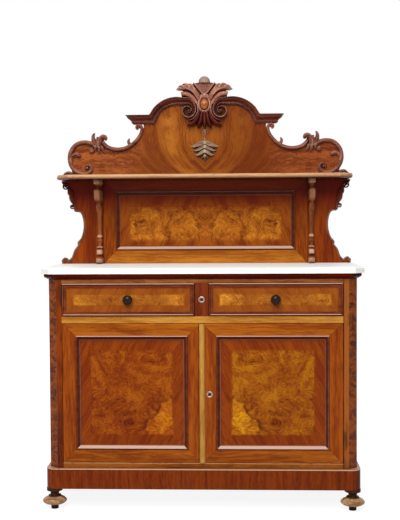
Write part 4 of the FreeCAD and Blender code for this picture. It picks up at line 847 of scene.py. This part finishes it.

# Brackets: two carved walnut consoles that carry the shelf, screwed to the gallery's stiles.
# From the top: a cap, a sunk neck, a block, a slender waist with rings, a small vase and a foot.
# Rings and blocks are painted pale as highlights.
bracket_line = drawn([
    (1000, 0.46, 12.5), (1000, 0.46, 12.5), (1006, 0.5, 13.5), (1018, 0.54, 13.8),
    (1028, 0.5, 12.2), (1033, 0.4, 8.2), (1036, 0.34, 6.2), (1039, 0.38, 8.5), (1045, 0.44, 11),
    (1055, 0.45, 11.5), (1064, 0.42, 10.5), (1068, 0.33, 7.5), (1071, 0.34, 9.5),
    (1075, 0.4, 12.5), (1079, 0.34, 9.5), (1083, 0.28, 6.5), (1092, 0.27, 7.8),
    (1104, 0.33, 11.2), (1112, 0.31, 9.2), (1117, 0.27, 7.5), (1123, 0.34, 10.8),
    (1130, 0.29, 8.5), (1150, 0.27, 9.2), (1190, 0.25, 8.8), (1228, 0.32, 10.5),
    (1246, 0.42, 12.2), (1262, 0.52, 11.2), (1270, 0.53, 7.8), (1276, 0.56, 7.8),
    (1283, 0.72, 11.2), (1294, 0.88, 12.5), (1310, 0.96, 12.5), (1324, 0.98, 12.5),
    (1332, 0.96, 11.8), (1338, 0.8, 7.5), (1352, 0.76, 7.5), (1357, 0.92, 11.5),
    (1362, 1, 12.8), (1376, 1, 12.8), (1376, 1, 12.8)], 3, shares=(1,))
bracket_x, bracket_back, bracket_reach = 0.478, 0.2315, 0.121
sections = []
for z, deep, half in bracket_line:
    soft = half * 0.55
    front = bracket_back - bracket_reach * deep + soft
    ring = [(-half, bracket_back), (-half, front)]
    for turn in range(1, 8):
        angle = math.pi * (1 - turn / 8)
        ring.append((half * math.cos(angle), front - soft * math.sin(angle)))
    ring += [(half, front), (half, bracket_back)]
    sections.append([(bracket_x + x, y, z) for x, y in ring])


def console_paint(place):
    wood = grained(place, (0.34, 0.1, 0.024), (0.14, 0.034, 0.01), "z", 34)
    high = parted(place)[2]
    # Bands at these heights are painted pale as highlights.
    for middle, reach, share in (
            (1.014, 0.014, 0.5), (1.054, 0.013, 0.9), (1.075, 0.006, 0.7),
            (1.124, 0.009, 0.9), (1.31, 0.032, 0.2), (1.367, 0.012, 0.55)):
        painted_highlight = fall(gap(high, middle), reach * 0.5, reach, share)
        wood = tinted(wood, painted_highlight, (0.62, 0.36, 0.25))
    return wood


console_wood = polished("console_walnut", console_paint,
                        coat=0.08, dirt=1.0, reach=0.02, worn=(0.5, 0.27, 0.17))
right_console = lofted("right_console", sections)
left_console = flipped(right_console, 0.7)
left_console.name = "left_console"
for side, console in (("left", left_console), ("right", right_console)):
    declared(painted(console, console_wood), "carcass", "carved_walnut", side + "_bracket")


# Shelf: a walnut board whose rounded front edge is worn and bleached to tan with a painted highlight, its lower
# half and underside painted dark as shade; the top keeps its polish.
# It lies on the gallery and the brackets and is screwed down.
def shelf_paint(place):
    high = facing(place)[2]
    worn = grained(place, (0.64, 0.36, 0.18), (0.42, 0.19, 0.08), "x", 30)
    # The lower half of the front edge is painted darker as shade.
    worn = tinted(worn, fall(parted(place)[2], 1.38, 1.39, 0.8), (0.16, 0.06, 0.025))
    top = grained(place, (0.28, 0.085, 0.02), (0.14, 0.034, 0.008), "x", 18)
    wood = chosen(rise(size(high), 0.75, 0.97), specked(place, worn, 0.5), top)
    # The underside is painted dark as shade.
    return tinted(wood, rise(times(high, -1), 0.5, 0.9), old_dirt)


dress(polished("shelf_walnut", shelf_paint), "gallery_shelf")


# Crest board: walnut with a crotch veneer whose flame fans out from the bottom; red and mottled at the ends.
# Fretted to the outline of the scrolls, polished, and screwed behind the shelf.
def crest_paint(place):
    vector = folded(place)
    across, deep, high = parted(vector)
    low = sums("MAXIMUM", sums("SUBTRACT", 1.68, high), 0)
    bend = sums("MULTIPLY_ADD", sums("POWER", low, 3), 5.5, -0.172)
    feather = combined(sums("ADD", across, bend), deep, high)
    soft = stirred(stirred(feather, 7, 0.05), 30, 0.008)
    flame = grained(soft, (0.36, 0.1, 0.01), (0.16, 0.029, 0.002), "z", 26)
    off = parted(stirred(feather, 6, 0.1))[0]
    # The right side is painted darker as shade: in the flame, its gold streak and the ends.
    shade = rise(parted(place)[0], 0.0, 0.16)
    streak = fall(size(off), 0.0, 0.06)
    streak = times(streak, rise(noise(feather, 14, 4, 0.6), 0.36, 0.6))
    streak = times(streak, sums("MULTIPLY_ADD", shade, -0.3, 0.65))
    flame = tinted(flame, streak, (0.52, 0.18, 0.018))
    flame = tinted(flame, rise(off, -0.04, 0.15, 0.45), (0.2, 0.04, 0.008))
    flame = tinted(flame, times(shade, 0.5), (0.13, 0.017, 0.001))
    mottle = stirred(stirred(vector, 9, 0.06), 45, 0.016)
    ends = grained(mottle, (0.44, 0.12, 0.025), (0.16, 0.03, 0.008), "x", 34)
    ends = tinted(ends, times(shade, 0.25), (0.12, 0.014, 0.004))
    out = parted(stirred(vector, 7, 0.06))[0]
    return backed(place, chosen(rise(out, 0.27, 0.36), flame, ends), plain_back)


dress(polished("crest_crotch", crest_paint), "crest_board")

# Cornice: a walnut moulding, worked by hand and glued on, polished dark with its edges worn pale and painted
# with highlights.
# It returns at its ends, runs along the ledges, breaks over the arch and winds into a volute by the cartouche.
cornice_profile = through([
    (0, 0), (0, 0), (0, 0.92), (0, 0.92), (0.02, 1), (0.12, 1), (0.14, 0.96), (0.14, 0.96), (0.16, 0.86),
    (0.16, 0.86), (0.28, 0.84), (0.4, 0.74), (0.5, 0.56), (0.58, 0.44), (0.64, 0.4), (0.64, 0.4),
    (0.66, 0.34), (0.66, 0.34), (0.8, 0.345), (0.88, 0.28), (0.94, 0.17), (1, 0.15), (1, 0.15), (1, 0),
    (1, 0)], 2)
arch_x, arch_z, arch_radius, arch_width = 0.12302, 1.61, 0.14, 0.037
cornice_end, cornice_top, cornice_height, cornice_proud = 0.31885, 1.67137, 0.041, 0.036
volute_x, volute_z, volute_height = 0.0725, 1.6885, 0.55
winding = drawn([
    (90, 57.5), (112, 50.5), (140, 41), (180, 34.5), (225, 32.5), (270, 31.5), (360, 28), (450, 20),
    (540, 13.5), (640, 8.5)], 8, shares=(0,))


def ledge_section(x_of, y_of):
    return [(x_of(down, out), y_of(out), cornice_top - cornice_height * down) for down, out in cornice_profile]


def round_section(x, z, turn, reach_of, proud):
    return [(x + reach_of(down) * math.cos(turn), gallery_front - proud * out,
             z + reach_of(down) * math.sin(turn)) for down, out in cornice_profile]


def return_x(down, out):
    return cornice_end + cornice_proud * out


def meeting_x(down, out):
    """Where the ledge's moulding meets that of the arch."""
    level = cornice_top - cornice_height * down - arch_z
    return arch_x + math.sqrt((arch_radius - arch_width * down) ** 2 - level ** 2)


def ledge_y(out):
    return gallery_front - cornice_proud * out


sections = [ledge_section(return_x, lambda out: case_back), ledge_section(return_x, ledge_y),
            ledge_section(meeting_x, ledge_y)]
for angle in range(40, 91, 2):
    sections.append(round_section(
        arch_x, arch_z, math.radians(angle), lambda down: arch_radius - arch_width * down, cornice_proud))
for angle, outer in winding:
    sections.append(round_section(
        volute_x, volute_z, math.radians(angle), lambda down: outer * (1 - volute_height * down),
        cornice_proud * (1.05 - 0.2 * (angle - 90) / 360)))
dome = drawn([
    (0, 0), (7, 0), (7, 0), (7, 21), (6.2, 24.5), (3.8, 26.5), (0, 27)], 4)
button = turned("volute_button", dome, (volute_x, gallery_front, volute_z), forward, steps=32)
cornice = mirrored(joined("swan_neck_cornice", [lofted("cornice", sections), button]))
cornice_wood = plain("cornice_walnut", (0.17, 0.04, 0.02), (0.07, 0.012, 0.006), "x", 34,
                     coat=0.1, dirt=0.85, reach=0.014, worn=(0.6, 0.36, 0.28))
declared(painted(cornice, cornice_wood), "carcass", "carved_walnut", "crest_cornice")

# Scrolls: walnut beads carved along the crest's edge, left standing from the solid, their ridges worn pale and
# painted with highlights.
# They wind into volutes at the ends, with a hook inside each end scroll and a small curl under the cornice.
end_scroll = drawn([
    (501.5, 1533, 0.45), (505, 1538.5, 0.75), (514, 1544.5, 0.95), (530, 1550, 1),
    (547, 1551.5, 1), (565, 1549.5, 1), (582, 1542.5, 1), (597.5, 1529, 1), (609, 1510.5, 1),
    (614.5, 1490, 1), (614.5, 1469, 1), (608.5, 1447.5, 1), (597.5, 1430, 1),
    (583.5, 1417.5, 1), (568, 1410.5, 0.98), (551.5, 1407.5, 0.95), (535.5, 1409.5, 0.9),
    (522, 1417.5, 0.84), (515.5, 1430, 0.78), (519, 1442.5, 0.7), (529.5, 1448.5, 0.62),
    (540, 1446, 0.55), (545.5, 1438, 0.5), (543, 1431, 0.44)], 4, shares=(2,))
hook = drawn([
    (611.5, 1452, 0.4), (610.5, 1466, 0.75), (607, 1480, 0.95), (600, 1491.5, 1.05),
    (590, 1497, 1.15), (579.5, 1496, 1.25), (572, 1489.5, 1.1), (572, 1484, 0.6),
    (573.5, 1482, 0.3)], 4, shares=(2,))
hollow_scroll = drawn([
    (462, 1553, 0.75), (456, 1543, 0.9), (447, 1533.5, 1), (433, 1525.5, 1), (414.5, 1520, 1),
    (393, 1518, 1), (372, 1520.5, 1), (351.5, 1527.5, 0.98), (332.5, 1538, 0.96),
    (315, 1552.5, 0.93), (300, 1570, 0.9), (289, 1589, 0.87), (284.5, 1607, 0.83),
    (288, 1620.5, 0.78), (296.5, 1627.5, 0.72), (305.5, 1625.5, 0.66), (309.5, 1618, 0.6),
    (307, 1610.5, 0.52), (300.5, 1609.5, 0.45)], 4, shares=(2,))
scrolls = [
    bead("end_scroll", end_scroll, gallery_front, width=0.0195, proud=0.0175),
    bead("hook", hook, gallery_front, width=0.0175, proud=0.017),
    bead("hollow_scroll", hollow_scroll, gallery_front, width=0.0185, proud=0.018, flip=-1)]
small_dome = through([
    (0, 0), (1, 0), (1, 0), (0.95, 0.5), (0.6, 0.9), (0, 1)], 3)
button_height = 0.0165
buttons = ((0.5355, 1.4355, 0.008), (0.514, 1.5145, 0.0125), (0.47, 1.5325, 0.0065), (0.2995, 1.617, 0.0065))
for x, z, radius in buttons:
    profile = [(share * radius, out * button_height) for share, out in small_dome]
    scrolls.append(turned("scroll_button", profile, (x, gallery_front, z), forward, steps=24))
carved = plain("carved_walnut", (0.34, 0.125, 0.075), (0.16, 0.045, 0.026), "x", 34,
               coat=0.08, dirt=0.9, reach=0.014, worn=(0.56, 0.35, 0.25))
scrolls = mirrored(joined("carved_scrolls", scrolls))
declared(painted(scrolls, carved), "carcass", "carved_walnut", "crest_scrolls")


# Leaves on the crest's shoulders: walnut, carved from the solid, with a horn and a rolled leaf that stand up.
# Small leaves droop below them; a bud lies on the hollow, and a leaf at each end of the shelf.
def frond(line, front, peak=0.0, flutes=0.0):
    """A carved fold along a line of (x, z, half width, height) in millimetres, highest at peak across it."""
    sections = []
    for (x, z, half, high), along in along_line(drawn(line, 5)):
        ring = []
        for turn in range(-8, 9):
            side = turn / 8
            if side < peak:
                out = math.sin(math.pi / 2 * (side + 1) / (peak + 1)) ** 0.8
            else:
                out = max(0, math.cos(math.pi / 2 * (side - peak) / (1 - peak))) ** 0.6
            out *= 1 - 0.16 * flutes * (1 - math.cos(math.tau * 2 * side)) / 2
            ring.append((x - along.y * side * half, front - out * high, z + along.x * side * half))
        sections.append([*ring, (x, front + 0.0015, z)])
    return lofted("fold", sections)


def paired(name, folds, front):
    """Folds and their twins on the other side of the middle, as one piece."""
    return mirrored(joined(name, [frond(line, front, peak, flutes) for line, peak, flutes in folds]))


crest_folds = [
    ([(499, 1532, 12, 14), (503, 1550, 11.5, 18), (507, 1566, 9.8, 20), (507.5, 1579, 8, 20),
      (503.5, 1588.5, 5.8, 18), (498.5, 1593, 2, 12)], 0.2, 0),
    ([(508, 1545, 6, 10), (515, 1553, 5, 14), (519.5, 1557.5, 1, 8)], 0, 0),
    ([(490, 1528, 11, 16), (489, 1548, 11.5, 22), (486, 1564, 9.5, 22), (483.5, 1574.5, 3, 14)], 0, 1),
    ([(479, 1528, 12, 14), (478.5, 1548, 12.5, 20), (473.5, 1566, 12.8, 25), (463.5, 1574.5, 13.2, 28),
      (454.5, 1572, 12.2, 26), (451, 1564, 8.5, 18), (452.5, 1558.5, 2, 10)], -0.25, 0.6),
    ([(493, 1537, 9, 14), (497.5, 1521, 9.2, 11), (496.5, 1509, 3, 4)], 0, 0.6),
    ([(480, 1533, 9.5, 16), (479.5, 1513, 9.8, 12), (476.5, 1498.5, 3, 4)], 0, 0.6),
    ([(468, 1532, 9, 14), (461.5, 1515, 9, 11), (454.5, 1503.5, 2.5, 4)], 0, 0.6),
    ([(336, 1532, 8.5, 14), (343, 1544, 8, 14), (347, 1555, 6.5, 13), (343.5, 1564, 4.2, 10),
      (340, 1567.5, 1, 6)], 0, 0),
    ([(604, 1404.5, 6, 14), (614, 1412.5, 8, 18), (628, 1414, 7.5, 18), (640, 1407.5, 5.5, 14),
      (648, 1402.5, 2.5, 8)], 0, 1)]
crest_leaves = paired("carved_leaves", crest_folds, gallery_front)
declared(painted(crest_leaves, carved), "carcass", "carved_walnut", "crest_leaves")

# Cartouche: a spray of acanthus between the volutes, carved from a thick walnut block and glued on.
# It has a ribbed fan and a knop at the top, an oval ring for the cabochon, and a skirt of drooping folds.
ground_half = metres([
    (0, 1803), (46, 1803), (72, 1790), (96.5, 1779), (98.5, 1752), (60, 1730), (45, 1710), (32, 1690),
    (30, 1665), (42, 1645), (30, 1632), (0, 1622)])
fan_half = metres([
    (0, 1758), (14.5, 1768), (29, 1785), (42, 1804), (46, 1810), (28, 1812.5), (0, 1814)])
ground, fan = (
    board(name, half + [(-x, z) for x, z in half[-2:0:-1]], front, back) for name, half, front, back in (
        ("cartouche_ground", ground_half, 0.2215, 0.2485), ("fan_ground", fan_half, 0.2075, 0.2455)))
spray_folds = [
    ([(25, 1738, 11.5, 26), (35.5, 1761, 16, 34), (53, 1782.5, 17.5, 38), (77, 1792.5, 16.5, 38),
      (99, 1791, 13.5, 34), (116, 1786.5, 9, 26), (126.5, 1783, 2, 12)], -0.35, 0.7),
    ([(40, 1770, 8, 20), (52, 1790, 12.5, 32), (62, 1802, 10.5, 28), (71, 1808, 3, 14)], 0.2, 0.6),
    ([(60, 1782, 9, 22), (74, 1797, 12.5, 34), (88, 1804.5, 9.5, 30), (99, 1805, 2, 14)], 0.1, 0.6),
    ([(82, 1786, 9, 22), (96, 1794.5, 10.8, 32), (108, 1797, 7.8, 26), (117, 1795, 2, 12)], 0.1, 0.6),
    ([(27, 1710, 7, 24), (34.5, 1722.5, 10.5, 31), (47, 1740, 13.2, 37), (65, 1755, 14.8, 38),
      (83, 1762.5, 13.8, 37), (96, 1763, 13.5, 33), (104.5, 1761, 11.5, 24)], -0.2, 0.4),
    ([(6, 1761, 4, 22), (17.5, 1773.5, 5.5, 25), (32, 1791.5, 6.2, 27), (42.5, 1805, 6.8, 30),
      (48, 1811, 4.5, 28), (49.5, 1812.5, 1, 20)], 0, 0),
    ([(33.5, 1735, 4, 18), (29.5, 1711, 6, 24), (29, 1688, 7, 28), (35, 1668.5, 7.5, 29),
      (49, 1652.5, 7, 24), (63, 1647, 4.8, 15), (73.5, 1648, 1, 6)], 0, 0)]
skirt_folds = [
    ([(21.5, 1694, 7, 26), (23.5, 1669, 11, 30), (32.5, 1649, 13.5, 31), (47.5, 1634.5, 12.5, 28),
      (64.5, 1627, 8.8, 21), (79.5, 1623.5, 2, 10)], 0.4, 0.3),
    ([(9.5, 1690, 8, 33), (11.5, 1660, 11.8, 35), (17.5, 1637, 12, 32), (26, 1620.5, 8.2, 24),
      (32.5, 1613.5, 2, 10)], 0.3, 0.3),
    ([(2, 1768, 2.5, 16), (8.5, 1787, 3.8, 18.5), (14, 1803, 4.8, 20.5), (16.5, 1810, 2, 16)], 0, 0)]
carving_front = 0.2225
spray = paired("cartouche_spray", spray_folds, carving_front)
skirt_sides = paired("cartouche_skirt", skirt_folds, carving_front)
skirt_middle = frond([
    (0, 1684, 8.5, 36), (0, 1655, 11.5, 38), (0, 1630, 9.8, 33), (0, 1608, 2, 12)], carving_front, flutes=0.4)
fan_middle = frond([
    (0, 1768, 2.5, 16), (0, 1788, 3.8, 18.5), (0, 1804, 4.8, 20.5), (0, 1811, 2, 16)], carving_front)
skirt = joined("acanthus_skirt", [skirt_sides, skirt_middle, fan_middle, ground, fan])


def skirt_paint(place):
    wood = grained(place, (0.15, 0.024, 0.014), (0.06, 0.008, 0.005), "z", 34)
    high = parted(place)[2]
    wood = tinted(wood, rise(high, 1.74, 1.76, 0.7), (0.3, 0.125, 0.085))
    # A dark band painted under the knop as its shadow.
    return tinted(wood, rise(high, 1.802, 1.809, 0.9), (0.03, 0.008, 0.005))


skirt_wood = polished("skirt_walnut", skirt_paint,
                      coat=0.08, dirt=0.8, reach=0.014, worn=(0.36, 0.16, 0.12))
declared(painted(skirt, skirt_wood), "carcass", "carved_walnut")


def pressed(name, profile, axis, steps, scale, shift):
    """A turned piece, squashed to an oval and set in its place."""
    piece = turned(name, profile, (0, 0, 0), axis, steps)
    picked(piece)
    start_edit(name)
    bpy.ops.transform.resize(value=scale, center_override=(0, 0, 0))
    bpy.ops.transform.translate(value=shift)
    bpy.ops.object.mode_set(mode="OBJECT")
    return piece


knop_profile = drawn([
    (0, -4), (21.5, -4), (21.5, -4), (25.7, -2), (26.2, 2), (25, 8.5), (21.5, 15.8), (15.5, 22.2),
    (8, 26), (0, 27)], 4)
ring_profile = drawn([
    (21, -6), (21, 2), (22.5, 5.5), (25.5, 6.5), (28.5, 4), (29.8, -2), (29.8, -20)], 4)
body_profile = drawn([
    (0, -30), (34, -30), (34, -30), (34, -12), (30.5, -4), (0, -4)], 3)
knop = pressed("knop", knop_profile, up, 32, scale=(1, 0.9, 1), shift=(0, 0.2195, 1.8155))
oval_ring = pressed("oval_ring", ring_profile, forward, 48, scale=(1, 1, 1.36), shift=(0, 0.2, 1.7165))
body = pressed("cartouche_body", body_profile, forward, 48, scale=(1, 1, 1.4), shift=(0, 0.2015, 1.7165))


def cartouche_paint(place):
    wood = grained(place, (0.57, 0.255, 0.168), (0.29, 0.104, 0.065), "x", 34)
    high = parted(place)[2]
    wood = tinted(wood, fall(high, 1.665, 1.715, 0.8), (0.12, 0.024, 0.018))
    return tinted(wood, rise(high, 1.813, 1.818, 0.85), (0.27, 0.205, 0.16))


cartouche = joined("acanthus_cartouche", [spray, knop, oval_ring, body])
cartouche_wood = polished("cartouche_walnut", cartouche_paint,
                          coat=0.08, dirt=0.9, reach=0.012, worn=(0.66, 0.47, 0.38))
declared(painted(cartouche, cartouche_wood), "carcass", "carved_walnut", "crest_cartouche")

# Cabochon: an oval walnut boss, orange brown and highly polished.
# Turned, pared to an oval and set in the cartouche's ring.
cabochon_profile = drawn([
    (0, -4), (18.5, -4), (18.5, -4), (18.3, 1), (16, 5.5), (10.5, 8.8), (4, 9.9), (0, 10)], 4)
cabochon = pressed("oval_cabochon", cabochon_profile, forward, 40,
                   scale=(1, 1, 1.216), shift=(0, 0.2015, 1.714))
cabochon_wood = plain("cabochon_walnut", (0.5, 0.15, 0.03), (0.3, 0.07, 0.012), "x", 40, coat=0.3)
declared(painted(cabochon, cabochon_wood), "carcass", "carved_walnut", "crest_cabochon")

# Pendant: a leaf drop carved in walnut, its high places worn pale and painted with highlights, glued to the
# board under the cartouche.
# Three tiers of folded leaves hang over a bud, with a tassel above.
tiers = [
    ([(-3, 1546.5, 11, 16), (12, 1542, 13, 19), (28, 1535, 11.5, 19), (44, 1529.5, 8.5, 16),
      (55, 1528.5, 5.8, 12), (62.5, 1530, 2, 6)], -0.5, 0.5),
    ([(-3, 1530, 12, 21), (10, 1525, 13.8, 23), (23, 1517.5, 11.5, 22), (37, 1512, 7.8, 18),
      (46.5, 1511, 5, 13), (53, 1512.5, 2, 7)], -0.5, 0.5),
    ([(-3, 1510.5, 13, 26), (8, 1505.5, 14.5, 27), (19, 1497.5, 11.5, 25), (29.5, 1491.5, 7.5, 19),
      (36.5, 1490.5, 4.5, 13), (42, 1491.5, 2, 7)], -0.5, 0.5),
    ([(0, 1488, 8, 18), (8, 1482, 7.8, 17), (12.5, 1474, 4.2, 10), (13.5, 1469.5, 1, 5)], 0, 0)]
pendant = joined("leaf_pendant", [
    paired("pendant_sides", tiers, gallery_front),
    frond([
        (0, 1495, 6.5, 18), (0, 1480, 7.5, 18), (0, 1468, 4.5, 13), (0, 1459, 1, 5)], gallery_front),
    frond([
        (-9.5, 1601.5, 1.5, 8), (-5, 1602.5, 4, 13), (0, 1603, 4.5, 14), (5, 1602.5, 4, 13),
        (9.5, 1601.5, 1.5, 8)], gallery_front),
    frond([
        (0, 1600, 9.5, 9), (0, 1588, 9.5, 10), (0, 1575, 6.8, 9), (0, 1566, 4.2, 8),
        (0, 1562, 5.5, 11), (0, 1557.5, 4.5, 10), (0, 1555, 1.5, 6)], gallery_front, flutes=1.0)])


def pendant_paint(place):
    wood = grained(place, (0.38, 0.26, 0.165), (0.18, 0.1, 0.058), "x", 40)
    stem = fall(gap(parted(place)[2], 1.581), 0.012, 0.016, 0.85)
    return tinted(wood, stem, (0.26, 0.08, 0.05))


pendant_wood = polished("worn_and_highlit_walnut", pendant_paint,
                        coat=0.06, dirt=1.0, reach=0.014, worn=(0.68, 0.56, 0.42))
declared(painted(pendant, pendant_wood), "carcass", "carved_walnut", "crest_pendant")


# Room: a plain white floor that keeps the shadow, and white all round where the camera or a shine sees it.
# A wide soft light stands high in front and a smaller one far in front; the camera is at the photo's angle.
def background_rays(tree):
    """1 on rays that see the room from the camera, or in something that shines."""
    rays = shader(tree, "LightPath").outputs
    shining = sums("MAXIMUM", rays["Is Glossy Ray"], rays["Is Transmission Ray"])
    return sums("MAXIMUM", rays["Is Camera Ray"], shining)


picked()
bpy.ops.mesh.primitive_plane_add(size=24, location=(0, 0, 0))
floor = bpy.context.object
floor.name = "floor"
floor_material, _, place = surfaced("white_floor")
tree = floor_material.node_tree
white = times(background_rays(tree), rise(length(place), 0.7, 1.6, 1.0, 0.75))
diffuse = shader(tree, "BsdfDiffuse", {"Color": (0.86, 0.86, 0.86, 1)}).outputs[0]
glow = shader(tree, "Emission", {"Color": (1, 1, 1, 1), "Strength": 1.2}).outputs[0]
mixed = made("MixShader", {0: white, 1: diffuse, 2: glow}).outputs[0]
link(tree.nodes["Material Output"].inputs, {"Surface": mixed})
tree.nodes.remove(tree.nodes["Principled BSDF"])
painted(floor, floor_material)

world = bpy.data.worlds.new("studio")
bpy.context.scene.world = world
world.use_nodes = True
tree = world.node_tree
sky = rise(parted(shader(tree, "TexCoord").outputs["Generated"])[2], 0.45, 0.95, 0.46, 0.06)
strength = sums("MAXIMUM", sky, background_rays(tree))
link(tree.nodes["Background"].inputs, {"Strength": strength, "Color": (1, 1, 1, 1)})


def soft_light(name, place, target, width, height, power):
    bpy.ops.object.light_add(type="AREA", location=place)
    lamp = bpy.context.object
    lamp.name = name
    lamp.data.shape = "RECTANGLE"
    lamp.data.size, lamp.data.size_y, lamp.data.energy = width, height, power
    lamp.rotation_euler = (Vector(target) - Vector(place)).to_track_quat("-Z", "Y").to_euler()


soft_light("overhead", (-0.3, -2.7, 3.9), (-0.1, -0.6, 0.2), width=3.0, height=2.6, power=134)
soft_light("front", (-0.6, -6.2, 3.9), (0, 0, 0.8), width=2.0, height=1.2, power=144)

yaw, pitch, roll = math.radians(2.44), math.radians(2.19), math.radians(-0.33)
ahead = Vector((-math.sin(yaw) * math.cos(pitch), math.cos(yaw) * math.cos(pitch), -math.sin(pitch)))
level = Vector((math.cos(yaw), math.sin(yaw), 0))
upright = level.cross(ahead)
camera_right = level * math.cos(roll) + upright * math.sin(roll)
camera_up = upright * math.cos(roll) - level * math.sin(roll)
turn = Matrix((camera_right, camera_up, -ahead)).transposed().to_4x4()
bpy.ops.object.camera_add()
camera = bpy.context.object
camera_place = (0.165, -4.2195, 1.185)
camera.matrix_world = Matrix.Translation(camera_place) @ turn
camera.data.lens = 67.9
camera.data.sensor_width = 36
bpy.context.scene.camera = camera
bpy.context.scene.view_settings.view_transform = "Standard"
